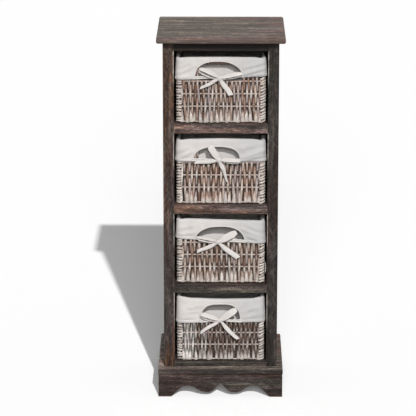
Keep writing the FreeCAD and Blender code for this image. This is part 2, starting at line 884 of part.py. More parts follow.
def make_baskets():
    for number in range(1, BASKET_COUNT + 1):
        make_wire_frame(number)
        make_weave(number)
        make_liner(number)
        make_tie(number)


def bore_boards():
    """Cuts every board's bores out of it."""
    for name, cutters in bores.items():
        tools = group(name + "_bores", cutters)
        pieces[name] = combine("Part::Cut", name + "_bored", pieces[name], tools)


def check_pieces():
    for item in doc.Objects:
        if "Invalid" in item.State or "Error" in item.State:
            raise RuntimeError(f"{item.Name} failed: {item.State}")
    for name, item in pieces.items():
        if item.Shape.isNull() or not item.Shape.isValid() or not item.Shape.Solids:
            raise RuntimeError(f"{name} has no valid solid")


def write_pieces():
    os.makedirs("parts", exist_ok=True)
    for name, item in pieces.items():
        item.Label = name
        item.Shape.exportStep(f"parts/{name}.step")


fill_sheets()
make_boards()
make_stiles()
make_rails()
make_side_panels()
make_back_panel()
make_shelves()
make_cleats()
make_carcass_joints()
make_front_apron()
make_side_aprons()
make_back_apron()
make_corner_blocks()
make_baskets()
bore_boards()
doc.recompute()
check_pieces()
write_pieces()
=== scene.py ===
"""Looks of a basket tower: weathered boards, woven baskets, cotton liners and tied bows."""

import json
import logging
import math
import random
from dataclasses import dataclass, field
from enum import Enum
from typing import Any, Callable, ClassVar, Sequence

import bmesh
import bpy
from mathutils import Matrix, Vector, noise


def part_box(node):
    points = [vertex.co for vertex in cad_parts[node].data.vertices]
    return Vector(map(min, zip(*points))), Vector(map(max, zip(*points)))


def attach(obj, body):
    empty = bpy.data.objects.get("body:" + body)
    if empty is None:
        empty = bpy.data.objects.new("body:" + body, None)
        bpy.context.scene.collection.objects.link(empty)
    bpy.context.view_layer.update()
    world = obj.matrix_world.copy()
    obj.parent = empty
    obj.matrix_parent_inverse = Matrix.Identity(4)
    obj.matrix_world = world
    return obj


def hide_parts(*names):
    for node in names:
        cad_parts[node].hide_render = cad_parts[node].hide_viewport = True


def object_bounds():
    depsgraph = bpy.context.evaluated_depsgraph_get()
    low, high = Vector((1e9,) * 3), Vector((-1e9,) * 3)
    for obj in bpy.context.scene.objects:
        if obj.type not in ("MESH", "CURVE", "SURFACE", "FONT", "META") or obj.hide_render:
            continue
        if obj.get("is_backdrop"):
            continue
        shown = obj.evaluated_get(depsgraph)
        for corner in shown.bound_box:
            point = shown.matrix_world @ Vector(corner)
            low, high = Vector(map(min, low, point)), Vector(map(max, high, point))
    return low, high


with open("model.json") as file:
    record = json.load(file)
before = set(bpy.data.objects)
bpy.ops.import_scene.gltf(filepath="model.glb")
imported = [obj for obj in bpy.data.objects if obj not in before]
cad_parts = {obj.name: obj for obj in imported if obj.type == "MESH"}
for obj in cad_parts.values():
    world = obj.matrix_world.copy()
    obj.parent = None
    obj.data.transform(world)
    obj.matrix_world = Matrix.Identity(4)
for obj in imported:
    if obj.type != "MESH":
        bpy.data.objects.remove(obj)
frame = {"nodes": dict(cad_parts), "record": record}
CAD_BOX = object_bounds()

LOG = logging.getLogger("basket_tower")
Colour = tuple[float, float, float, float]
Socket = bpy.types.NodeSocket
Pair = tuple[float, float]
Triple = tuple[float, float, float]
PURE_WHITE: Colour = (1, 1, 1, 1)

# Underside of the lowest basket, from one basket to the next, and half the opening's width
BASKET_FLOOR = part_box("basket_4_weave")[0].z
BASKET_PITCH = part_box("basket_3_weave")[0].z - BASKET_FLOOR
OPENING_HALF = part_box("right_stile")[0].x
# Front edge and half width of the top and base boards
BOARD_FRONT = CAD_BOX[0].y
BOARD_HALF = CAD_BOX[1].x
# Heights above a basket's underside where strands cross wires: the floor, three rings and the rim
RING_HEIGHTS = (0.004, 0.038, 0.066, 0.094, 0.141)
# Height of the ring under the hand hole
SILL_HEIGHT = RING_HEIGHTS[-2]
UP = Vector((0, 0, 1))
FORWARD = Vector((0, -1, 0))


def paint(red: int, green: int, blue: int) -> Colour:
    """Turns a screen colour into the linear one that a shader reads.

    Args:
        red: Red, from 0 to 255.
        green: Green, from 0 to 255.
        blue: Blue, from 0 to 255.

    Returns:
        The linear colour, with full opacity.
    """
    shares = (red / 255, green / 255, blue / 255)
    linear = [s / 12.92 if s <= 0.04045 else ((s + 0.055) / 1.055) ** 2.4 for s in shares]
    return linear[0], linear[1], linear[2], 1.0


def grey(level: float) -> Colour:
    """The linear grey of a level from 0 to 1."""
    return level, level, level, 1.0


def between(low: float, high: float, share: float) -> float:
    """The number that lies at a share of the way from low to high."""
    return low + (high - low) * share


def ease(share: float) -> float:
    """A share from 0 to 1, slowed at both ends and held within them."""
    held = min(1.0, max(0.0, share))
    return held * held * (3 - 2 * held)


class ShaderSheet:
    """A new material and its node tree, with short calls that add and join nodes."""

    def __init__(self, name: str) -> None:
        """Starts a material that holds only its surface shader."""
        self.material = bpy.data.materials.new(name)
        self.material.use_nodes = True
        self.nodes = self.material.node_tree.nodes
        self.links = self.material.node_tree.links
        self.surface = self.nodes["Principled BSDF"]

    def feed(self, socket: Socket, value: Any) -> None:
        """Joins another node's output to a socket, or sets the socket's own value.

        Args:
            socket: The socket.
            value: The output or the value.
        """
        if isinstance(value, bpy.types.NodeSocket):
            self.links.new(value, socket)
        else:
            socket.default_value = value

    def add(self, kind: str, inputs: dict[Any, Any] | None = None, **settings: Any) -> bpy.types.Node:
        """Adds a node.

        Args:
            kind: The node's type.
            inputs: What feeds each input, by its name or number.
            **settings: The node's own properties.

        Returns:
            The new node.
        """
        node = self.nodes.new(kind)
        for name, value in settings.items():
            setattr(node, name, value)
        for key, value in (inputs or {}).items():
            self.feed(node.inputs[key], value)
        return node

    def dress(self, **inputs: Any) -> None:
        """Feeds the surface shader, with underscores for the spaces in its inputs' names."""
        for name, value in inputs.items():
            self.feed(self.surface.inputs[name.replace("_", " ")], value)

    def stretched(
        self, lengths: Sequence[float] = (1, 1, 1), shift: Sequence[float] = (0, 0, 0), turn: float = 0
    ) -> Socket:
        """The piece's own coordinates, drawn out along its axes.

        Args:
            lengths: How far a pattern is drawn out along each axis.
            shift: Where the pattern starts.
            turn: The pattern's turn about the axis that faces the front, in radians.

        Returns:
            The coordinates.
        """
        place = self.add("ShaderNodeTexCoord").outputs["Object"]
        inputs = {"Vector": place, "Location": shift, "Rotation": (0, turn, 0), "Scale": lengths}
        return self.add("ShaderNodeMapping", inputs, vector_type="TEXTURE").outputs["Vector"]

    def noise(self, place: Socket, scale: float, detail: float = 3, roughness: float = 0.55) -> Socket:
        """Noise of a number of cells to the metre, from 0 to 1."""
        inputs = {"Vector": place, "Scale": scale, "Detail": detail, "Roughness": roughness}
        return self.add("ShaderNodeTexNoise", inputs).outputs["Fac"]

    def ramp(self, value: Socket, *stops: tuple[float, Colour]) -> Socket:
        """Picks colours along a scale.

        Args:
            value: What picks them.
            *stops: The scale's places and their colours.

        Returns:
            The colour.
        """
        node = self.add("ShaderNodeValToRGB", {"Fac": value})
        elements = node.color_ramp.elements
        while len(elements) < len(stops):
            elements.new(1.0)
        for element, (place, colour) in zip(elements, stops):
            element.position = place
            element.color = colour
        return node.outputs["Color"]

    def mix(self, share: Any, first: Any, second: Any, blend: str = "MIX") -> Socket:
        """Mixes two colours.

        Args:
            share: The share of the second one.
            first: The first colour.
            second: The second colour.
            blend: The way of mixing.

        Returns:
            The mixed colour.
        """
        node = self.add("ShaderNodeMix", data_type="RGBA", blend_type=blend)
        for number, value in ((0, share), (6, first), (7, second)):
            self.feed(node.inputs[number], value)
        return node.outputs[2]

    def span(self, value: Socket, low: float, high: float, start: float = 0, end: float = 1) -> Socket:
        """A value from low to high, carried over to start to end and held there."""
        inputs = {"Value": value, "From Min": low, "From Max": high, "To Min": start, "To Max": end}
        return self.add("ShaderNodeMapRange", inputs).outputs["Result"]

    def sum(self, operation: str, first: Any, second: Any = 0.0) -> Socket:
        """The result of a sum of two values."""
        return self.add("ShaderNodeMath", {0: first, 1: second}, operation=operation).outputs["Value"]

    def bump(self, height: Socket, depth: float, strength: float = 1.0) -> Socket:
        """Normals that follow a height, whose full step is depth in metres."""
        inputs = {"Height": height, "Distance": depth, "Strength": strength}
        return self.add("ShaderNodeBump", inputs).outputs["Normal"]

    def attribute(self, name: str, output: str = "Fac") -> Socket:
        """A value that the mesh holds at each of its points."""
        return self.add("ShaderNodeAttribute", attribute_name=name).outputs[output]

    def arris(self, width: float) -> Socket:
        """How near an edge of the piece lies.

        Args:
            width: How far from the edge it counts.

        Returns:
            A value from 0 on a face to 1 on the edge.
        """
        rounded = self.add("ShaderNodeBevel", {"Radius": width}, samples=6).outputs["Normal"]
        true = self.add("ShaderNodeNewGeometry").outputs["Normal"]
        facing = self.add("ShaderNodeVectorMath", {0: rounded, 1: true}, operation="DOT_PRODUCT")
        return self.span(facing.outputs["Value"], 0.99, 0.78)


class Finish:
    """A surface of the tower or of the floor."""

    def coat(self, sheet: ShaderSheet) -> None:
        """Draws the finish on a material's node tree."""
        raise NotImplementedError

    def material(self, name: str) -> bpy.types.Material:
        """Makes the finish.

        Args:
            name: The material's name.

        Returns:
            The material.
        """
        sheet = ShaderSheet(name)
        self.coat(sheet)
        return sheet.material


class Grain(Enum):
    """The way that a board's fibres run, as a 1 for that axis."""

    ACROSS = (1, 0, 0)
    DEEP = (0, 1, 0)
    UPRIGHT = (0, 0, 1)


@dataclass(frozen=True)
class WeatheredWood(Finish):
    """Dark brushed timber: grey-brown fibres, rusty streaks, pale scratches and worn arrises.

    Attributes:
        grain: The way that the fibres run.
        start: Where the figure starts, so that no two boards share it.
        tone: The board's brightness.
        rust: The share of the board that is reddish brown.
        wear: How pale its arrises are.
        rubbed: Whether its edge is rubbed pale where the cuffs of the baskets pass.
        edge_tone: The brightness of its front edge, beside the rest of it.
        drift: How much redder it gets towards its right end and its front edge.
        right_shade: How much darker it is at its right end, as painted shade.
        hatch: How strongly it is scratched both ways across its grain.
        calm: How even the colour of its front edge is.
    """

    # How far the figure starts along each axis, for each step of a board's own start
    PACES: ClassVar[Triple] = (3.1, 1.7, 2.3)
    # The share of rust that doesn't shift the patches, and how far others do
    EVEN_RUST: ClassVar[float] = 0.45
    RUST_SHIFT: ClassVar[float] = 0.4
    # From an opening's side: where the rubbed edge ends, and where it is full
    RUBBED_EDGE: ClassVar[Pair] = (0.0024, 0.0012)
    # From the boards' front: where the colour of a front edge ends, and where it is full
    FRONT_EDGE: ClassVar[Pair] = (0.0035, 0.0015)
    # From the middle: where the painted shade of a darker right end starts, and where it is full
    RIGHT_END: ClassVar[Pair] = (0.09, 0.135)
    # Width of the worn arrises
    ARRIS: ClassVar[float] = 0.0022

    grain: Grain
    start: float
    tone: float = 1.0
    rust: float = EVEN_RUST
    wear: float = 0.5
    rubbed: bool = False
    edge_tone: float = 1.0
    drift: float = 0.0
    right_shade: float = 0.0
    hatch: float = 0.0
    calm: float = 0.0

    def figure(self, sheet: ShaderSheet, length: float, turn: float = 0) -> Socket:
        """The board's coordinates, drawn out along its grain."""
        shift = [self.start * pace for pace in self.PACES]
        lengths = [between(1, length, axis) for axis in self.grain.value]
        return sheet.stretched(lengths, shift, turn)

    def rubbing(self, sheet: ShaderSheet) -> Socket:
        """Where the board's edge is rubbed, beside the upper half of each opening.

        Args:
            sheet: The node tree.

        Returns:
            A value that is 0 where it isn't rubbed.
        """
        place = sheet.add("ShaderNodeTexCoord").outputs["Object"]
        axes = sheet.add("ShaderNodeSeparateXYZ", {"Vector": place}).outputs
        edge = sheet.span(sheet.sum("ABSOLUTE", axes["X"]), *(OPENING_HALF + x for x in self.RUBBED_EDGE))
        raised = sheet.sum("SUBTRACT", axes["Z"], BASKET_FLOOR)
        share = sheet.sum("FRACT", sheet.sum("DIVIDE", raised, BASKET_PITCH))
        beside = sheet.sum("MULTIPLY", sheet.span(share, 0.42, 0.6), sheet.span(share, 0.9, 0.87))
        broken = sheet.span(sheet.noise(place, 60, 3), 0.35, 0.6, 0.15, 0.75)
        return sheet.sum("MULTIPLY", sheet.sum("MULTIPLY", edge, beside), broken)

    def coat(self, sheet: ShaderSheet) -> None:
        """Draws the finish.

        Args:
            sheet: The node tree.
        """
        long = self.figure(sheet, 22)
        short = self.figure(sheet, 6)
        streaks = sheet.noise(long, 120, 5, 0.65)
        fibres = sheet.noise(short, 300, 4, 0.65)
        specks = sheet.noise(self.figure(sheet, 2.2), 460, 3, 0.6)
        figure = sheet.sum("ADD", sheet.sum("MULTIPLY", streaks, 0.4), sheet.sum("MULTIPLY", fibres, 0.36))
        figure = sheet.sum("ADD", figure, sheet.sum("MULTIPLY", specks, 0.24))
        colour = sheet.ramp(
            figure,
            (0.39, paint(30, 26, 24)),
            (0.47, paint(64, 58, 54)),
            (0.53, paint(98, 90, 85)),
            (0.62, paint(160, 150, 142)),
        )
        clouds = sheet.noise(self.figure(sheet, 5), 55, 3, 0.6)
        colour = sheet.mix(1.0, colour, sheet.span(clouds, 0.34, 0.66, 0.72, 1.28), "MULTIPLY")
        axes = sheet.add("ShaderNodeSeparateXYZ", {"Vector": sheet.stretched()}).outputs
        edge = sheet.span(axes["Y"], *(BOARD_FRONT + y for y in self.FRONT_EDGE))
        redder = sheet.sum("ADD", sheet.span(axes["X"], -BOARD_HALF, BOARD_HALF, -0.5, 0.5), edge)
        redder = sheet.sum("MULTIPLY", redder, self.drift)
        rust = (self.rust - self.EVEN_RUST) * self.RUST_SHIFT
        patches = sheet.sum("ADD", sheet.noise(self.figure(sheet, 7), 26, 4, 0.6), rust)
        patches = sheet.sum("ADD", patches, redder)
        tint = sheet.ramp(
            patches,
            (0.36, (0.97, 0.98, 0.9, 1)),
            (0.46, (1.0, 0.96, 0.92, 1)),
            (0.53, (1.12, 0.9, 0.94, 1)),
            (0.6, (1.3, 0.94, 0.82, 1)),
            (0.7, (1.6, 0.98, 0.66, 1)),
        )
        colour = sheet.mix(1.0, colour, tint, "MULTIPLY")
        scratched = sheet.noise(self.figure(sheet, 7, 0.5), 420, 2, 0.6)
        colour = sheet.mix(sheet.span(scratched, 0.64, 0.72, 0, 0.45), colour, paint(152, 143, 135))
        colour = sheet.mix(sheet.span(edge, 0, 1, 0, self.calm), colour, paint(108, 92, 85))
        for turn in (-0.6, 0.6):
            hatched = sheet.span(sheet.noise(self.figure(sheet, 8, turn), 270, 2, 0.5), 0.53, 0.64)
            hatched = sheet.sum("MULTIPLY", hatched, sheet.span(clouds, 0.44, 0.6, 0, self.hatch))
            colour = sheet.mix(hatched, colour, paint(152, 143, 136))
        worn = sheet.span(sheet.noise(long, 90, 3), 0.42, 0.62, 0, self.wear)
        worn = sheet.sum("MULTIPLY", worn, sheet.arris(self.ARRIS))
        tone = sheet.span(edge, 0, 1, self.tone, self.tone * self.edge_tone)
        tone = sheet.sum("MULTIPLY", tone, sheet.span(axes["X"], *self.RIGHT_END, 1, 1 - self.right_shade))
        colour = sheet.mix(worn, sheet.mix(1.0, colour, tone, "MULTIPLY"), paint(168, 157, 146))
        if self.rubbed:
            colour = sheet.mix(self.rubbing(sheet), colour, paint(172, 164, 155))
        sheet.dress(
            Base_Color=colour,
            Roughness=sheet.span(figure, 0.39, 0.62, 0.55, 0.8),
            Specular_IOR_Level=0.15,
            Normal=sheet.bump(figure, 0.0014, 0.7),
        )


@dataclass(frozen=True)
class PlainTimber(Finish):
    """Plain timber or ply with a soft grain.

    Attributes:
        grain: The way that the fibres run.
        dark: The colour of its late wood.
        light: The colour of its early wood.
    """

    grain: Grain
    dark: Colour
    light: Colour

    def coat(self, sheet: ShaderSheet) -> None:
        """Draws the finish.

        Args:
            sheet: The node tree.
        """
        figure = sheet.stretched([between(1, 20, axis) for axis in self.grain.value])
        rings = sheet.noise(figure, 90, 4, 0.6)
        pores = sheet.noise(figure, 700, 2)
        colour = sheet.ramp(rings, (0.32, self.dark), (0.66, self.light))
        colour = sheet.mix(0.5, colour, sheet.span(pores, 0.3, 0.7, 0.7, 1.15), "MULTIPLY")
        sheet.dress(
            Base_Color=colour,
            Roughness=sheet.span(rings, 0.3, 0.7, 0.55, 0.75),
            Specular_IOR_Level=0.35,
            Normal=sheet.bump(pores, 0.0003, 0.5),
        )


@dataclass(frozen=True)
class ZincSteel(Finish):
    """Dull zinc on screws and nails, clouded and a little pitted.

    Attributes:
        bright: Its palest colour.
        dull: Its darkest colour.
    """

    bright: Colour = paint(186, 188, 190)
    dull: Colour = paint(138, 140, 143)

    def coat(self, sheet: ShaderSheet) -> None:
        """Draws the finish.

        Args:
            sheet: The node tree.
        """
        place = sheet.stretched()
        clouds = sheet.noise(place, 600, 3)
        sheet.dress(
            Base_Color=sheet.ramp(clouds, (0.35, self.dull), (0.65, self.bright)),
            Metallic=1.0,
            Roughness=sheet.span(clouds, 0.3, 0.7, 0.32, 0.55),
            Normal=sheet.bump(sheet.noise(place, 2400, 2), 0.0001, 0.4),
        )


@dataclass(frozen=True)
class PaintedWire(Finish):
    """Basket wire under chalky cream paint, rubbed brown in places.

    Attributes:
        cream: The paint's colour.
        rubbed: The colour of the rubbed places.
    """

    cream: Colour = paint(170, 154, 146)
    rubbed: Colour = paint(132, 110, 100)

    def coat(self, sheet: ShaderSheet) -> None:
        """Draws the finish.

        Args:
            sheet: The node tree.
        """
        place = sheet.stretched()
        rubs = sheet.noise(place, 160, 4, 0.65)
        sheet.dress(
            Base_Color=sheet.ramp(rubs, (0.38, self.rubbed), (0.55, self.cream)),
            Roughness=sheet.span(rubs, 0.3, 0.7, 0.75, 0.6),
            Normal=sheet.bump(rubs, 0.0003, 0.5),
        )


@dataclass(frozen=True)
class WovenStraw(Finish):
    """Twisted sea grass under a thin whitewash, which stays on the proud parts, with painted shade on the
    strands' edges and on the parts behind the wires.

    Attributes:
        wash: How much of the whitewash is left.
        tone: The straw's brightness.
    """

    wash: float
    tone: float

    def coat(self, sheet: ShaderSheet) -> None:
        """Draws the finish.

        Args:
            sheet: The node tree.
        """
        straw = sheet.attribute("strand_tone")
        proud = sheet.attribute("strand_proud")
        lay = sheet.attribute("strand_lay", "Vector")
        fibres = sheet.noise(lay, 3.2, 3, 0.6)
        patches = sheet.noise(sheet.stretched((1, 1, 2)), 85, 3, 0.6)
        colour = sheet.ramp(
            straw,
            (0.0, paint(122, 92, 76)),
            (0.18, paint(160, 126, 106)),
            (0.36, paint(192, 160, 145)),
            (0.54, paint(209, 187, 170)),
            (0.72, paint(186, 170, 168)),
            (0.86, paint(162, 140, 130)),
            (1.0, paint(234, 228, 220)),
        )
        coat = sheet.sum("MULTIPLY", sheet.span(patches, 0.4, 0.62), sheet.span(proud, 0.5, 0.95))
        coat = sheet.sum("MULTIPLY", coat, self.wash)
        coat = sheet.sum("MAXIMUM", coat, sheet.span(proud, 1.0, 1.5, 0, 0.85))
        colour = sheet.mix(1.0, colour, grey(self.tone), "MULTIPLY")
        colour = sheet.mix(coat, colour, paint(206, 199, 192))
        # Painted shade: each strand darkens towards its edges, as if shaded by its neighbours
        edge = sheet.span(sheet.attribute("strand_edge"), 0.55, 1.0, 1, 0.5)
        colour = sheet.mix(1.0, colour, edge, "MULTIPLY")
        # Painted shade: the parts behind the wires turn dark brown, where shade falls in the recesses
        colour = sheet.mix(sheet.span(proud, 0.34, 0.08, 0, 0.93), colour, paint(42, 30, 24))
        colour = sheet.mix(0.85, colour, sheet.span(fibres, 0.28, 0.72, 0.45, 1.4), "MULTIPLY")
        sheet.dress(
            Base_Color=colour,
            Roughness=sheet.span(fibres, 0.3, 0.7, 0.6, 0.85),
            Specular_IOR_Level=0.3,
            Normal=sheet.bump(fibres, 0.0006, 0.7),
        )


@dataclass(frozen=True)
class CottonCloth(Finish):
    """Plain off-white cotton: slubbed threads both ways, faint shading and a soft nap, with painted shade
    that greys it towards the right.

    Attributes:
        colour: The cloth's colour.
        painted_shade_right: The painted shade, as a tint, that it takes on towards the right.
    """

    # Cells of the threads' pattern along a metre, across the threads and along them
    CELLS_ACROSS: ClassVar[float] = 1500
    CELLS_ALONG: ClassVar[float] = 60

    colour: Colour
    painted_shade_right: Colour = PURE_WHITE

    def coat(self, sheet: ShaderSheet) -> None:
        """Draws the finish.

        Args:
            sheet: The node tree.
        """
        flat = sheet.add("ShaderNodeUVMap", uv_map="cloth").outputs["UV"]
        scales = ((self.CELLS_ACROSS, self.CELLS_ALONG, 1), (self.CELLS_ALONG, self.CELLS_ACROSS, 1))
        ways = [sheet.add("ShaderNodeMapping", {"Vector": flat, "Scale": scale}) for scale in scales]
        warp, weft = (sheet.noise(way.outputs["Vector"], 1, 2) for way in ways)
        threads = sheet.sum("ADD", warp, weft)
        clouds = sheet.noise(sheet.stretched(), 40, 3)
        colour = sheet.mix(0.6, self.colour, sheet.span(threads, 0.7, 1.3, 0.86, 1.08), "MULTIPLY")
        colour = sheet.mix(0.5, colour, sheet.span(clouds, 0.3, 0.7, 0.88, 1.08), "MULTIPLY")
        # Painted shade: the cloth greys towards its right, where the light falls off
        axes = sheet.add("ShaderNodeSeparateXYZ", {"Vector": sheet.stretched()}).outputs
        right = sheet.sum("ADD", axes["X"], sheet.span(clouds, 0.3, 0.7, -0.02, 0.02))
        tint = sheet.ramp(sheet.span(right, -0.01, 0.06), (0, PURE_WHITE), (1, self.painted_shade_right))
        colour = sheet.mix(1.0, colour, tint, "MULTIPLY")
        sheet.dress(
            Base_Color=colour,
            Roughness=sheet.span(threads, 0.6, 1.4, 0.8, 0.95),
            Specular_IOR_Level=0.2,
            Sheen_Weight=0.15,
            Normal=sheet.bump(threads, 0.00025, 0.6),
        )


@dataclass(frozen=True)
class PaleFloor(Finish):
    """A white floor that keeps shadows, and throws back less light than it shows.

    Attributes:
        shown: Its whiteness to the camera.
        thrown: Its whiteness in the light that it throws on the object.
        lift: What is added for the camera, so that the lit floor is white.
    """

    shown: float = 0.95
    thrown: float = 0.3
    lift: float = 0.085

    def coat(self, sheet: ShaderSheet) -> None:
        """Draws the finish.

        Args:
            sheet: The node tree.
        """
        seen = seen_directly(sheet)
        marks = sheet.noise(sheet.stretched(), 4, 2)
        sheet.dress(
            Base_Color=sheet.mix(seen, grey(self.thrown), grey(self.shown)),
            Roughness=sheet.span(marks, 0.3, 0.7, 0.88, 0.95),
            Specular_IOR_Level=0.0,
            Emission_Color=PURE_WHITE,
            Emission_Strength=sheet.sum("MULTIPLY", seen, self.lift),
        )


def seen_directly(sheet: "ShaderSheet | WorldSheet") -> Socket:
    """Picks out the rays of the camera, reflections and glass.

    Args:
        sheet: The node tree that asks.

    Returns:
        A value that is 1 on those rays and 0 on the rest.
    """
    path = sheet.add("ShaderNodeLightPath").outputs
    mirrored = sheet.sum("MAXIMUM", path["Is Glossy Ray"], path["Is Transmission Ray"])
    return sheet.sum("MAXIMUM", path["Is Camera Ray"], mirrored)


class WorldSheet(ShaderSheet):
    """The world's node tree, with the same short calls."""

    def __init__(self, world: bpy.types.World) -> None:
        """Takes a world that has nodes."""
        self.nodes = world.node_tree.nodes
        self.links = world.node_tree.links
        self.surface = self.nodes["Background"]


def to_mesh(name: str, shape: bmesh.types.BMesh) -> bpy.types.Mesh:
    """Turns a shape into a mesh and frees it.

    Args:
        name: The mesh's name.
        shape: The shape.

    Returns:
        The mesh.
    """
    mesh = bpy.data.meshes.new(name)
    shape.to_mesh(mesh)
    shape.free()
    return mesh


def set_out(name: str, data: bpy.types.ID) -> bpy.types.Object:
    """Puts a mesh, a lamp or a camera into the scene.

    Args:
        name: The new object's name.
        data: What it shows.

    Returns:
        The object.
    """
    holder = bpy.data.objects.new(name, data)
    bpy.context.scene.collection.objects.link(holder)
    return holder


def wear(node: str, finish: bpy.types.Material) -> None:
    """Gives a node's own solid its finish.

    Args:
        node: The node.
        finish: The material.
    """
    materials = frame["nodes"][node].data.materials
    materials.clear()
    materials.append(finish)
    LOG.info("%s: dressed", node)


def new_piece(
    name: str, shape: bmesh.types.BMesh, finish: bpy.types.Material, body: str, node: str
) -> bpy.types.Object:
    """Turns a shape into a piece that rides on a body and stands for a node.

    Args:
        name: The piece's name.
        shape: Its shape, which is freed.
        finish: Its material.
        body: The body that it rides on.
        node: The node that it stands for.

    Returns:
        The piece.
    """
    mesh = to_mesh(name, shape)
    mesh.shade_smooth()
    mesh.materials.append(finish)
    piece = set_out(name, mesh)
    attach(piece, body)
    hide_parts(node)
    LOG.info("%s: %d faces, rides on %s", name, len(mesh.polygons), body)
    return piece


@dataclass
class Cabinet:
    """The wooden tower itself, whose boards keep their shapes and get their finishes.

    Attributes:
        body: The body that the boards ride on.
    """

    body: str = "cabinet"

    def boards(self) -> dict[str, WeatheredWood]:
        """The weathered boards by name, each with a figure of its own.

        Returns:
            A finish for each board.
        """
        across, deep, upright = Grain.ACROSS, Grain.DEEP, Grain.UPRIGHT
        # Each has its grain, the start of its figure, and how bright, rusty and worn it is
        boards = {
            "top_board": WeatheredWood(across, 1.0, 1.19, 0.28, 0.08, edge_tone=0.64, drift=0.14, calm=0.5),
            # The base board darkens towards its right end as painted shade
            "base_board": WeatheredWood(across, 2.0, 1.75, 0.34, 0.5, edge_tone=0.18, drift=0.06, right_shade=0.5),
            "left_stile": WeatheredWood(upright, 3.0, 0.27, 0.66, 0.3, True, hatch=0.6),
            "right_stile": WeatheredWood(upright, 4.0, 0.185, 0.46, 0.3, True, hatch=0.7),
            # The header rail's very low tone is painted shadow from the top board's overhang
            "header_rail": WeatheredWood(across, 5.0, 0.06, 0.5, 0.03),
            "shelf_rail_1": WeatheredWood(across, 6.0, 0.83, 0.65, 0.4),
            "shelf_rail_2": WeatheredWood(across, 7.0, 0.71, 0.66, 0.4),
            "shelf_rail_3": WeatheredWood(across, 8.0, 0.41, 0.32, 0.4),
            "bottom_rail": WeatheredWood(across, 9.0, 0.42, 0.4, 0.6),
            "left_side_panel": WeatheredWood(upright, 10.0, 0.55, 0.42, 0.5),
            "right_side_panel": WeatheredWood(upright, 11.0, 0.55, 0.4, 0.5),
            "front_apron": WeatheredWood(across, 12.0, 0.26, 0.64, 0.25),
            "back_apron": WeatheredWood(across, 13.0, 0.45, 0.5, 0.5),
            "left_apron": WeatheredWood(deep, 14.0, 0.45, 0.5, 0.5),
            "right_apron": WeatheredWood(deep, 15.0, 0.45, 0.5, 0.5),
        }
        for number in range(1, len(BASKET_LOOKS) + 1):
            boards[f"shelf_{number}"] = WeatheredWood(across, 15.0 + number, 0.6, 0.35)
        return boards

    def fittings(self) -> dict[str, Finish]:
        """The finishes of what is hidden or fastens the boards, by the record's slot.

        Returns:
            A finish for each slot.
        """
        return {
            "back_ply": PlainTimber(Grain.UPRIGHT, paint(74, 60, 52), paint(118, 100, 88)),
            "bare_batten": PlainTimber(Grain.UPRIGHT, paint(158, 120, 82), paint(206, 174, 134)),
            "dowel_beech": PlainTimber(Grain.ACROSS, paint(176, 138, 100), paint(214, 182, 146)),
            "zinc_steel": ZincSteel(),
        }

    def dress(self) -> None:
        """Gives every node of the cabinet its finish."""
        boards = self.boards()
        fittings = {slot: finish.material(slot) for slot, finish in self.fittings().items()}
        slots = {part["node"]: part["material_slot"] for part in frame["record"]["subparts"]}
        for name in frame["record"]["behaviour"]["bodies"][self.body]:
            if name in boards:
                finish = boards[name].material(name)
            else:
                finish = fittings[slots[name]]
            wear(name, finish)


@dataclass(frozen=True)
class StrandRing:
    """One ring of a strand.

    Attributes:
        middle: Where its middle lies.
        across: Its half width, as a vector.
        through: Its half thickness, as a vector.
        proud: From 0 behind the wires to 1 in front of them, and more where it is washed white; low values
            get painted shade.
    """

    middle: Vector
    across: Vector
    through: Vector
    proud: float


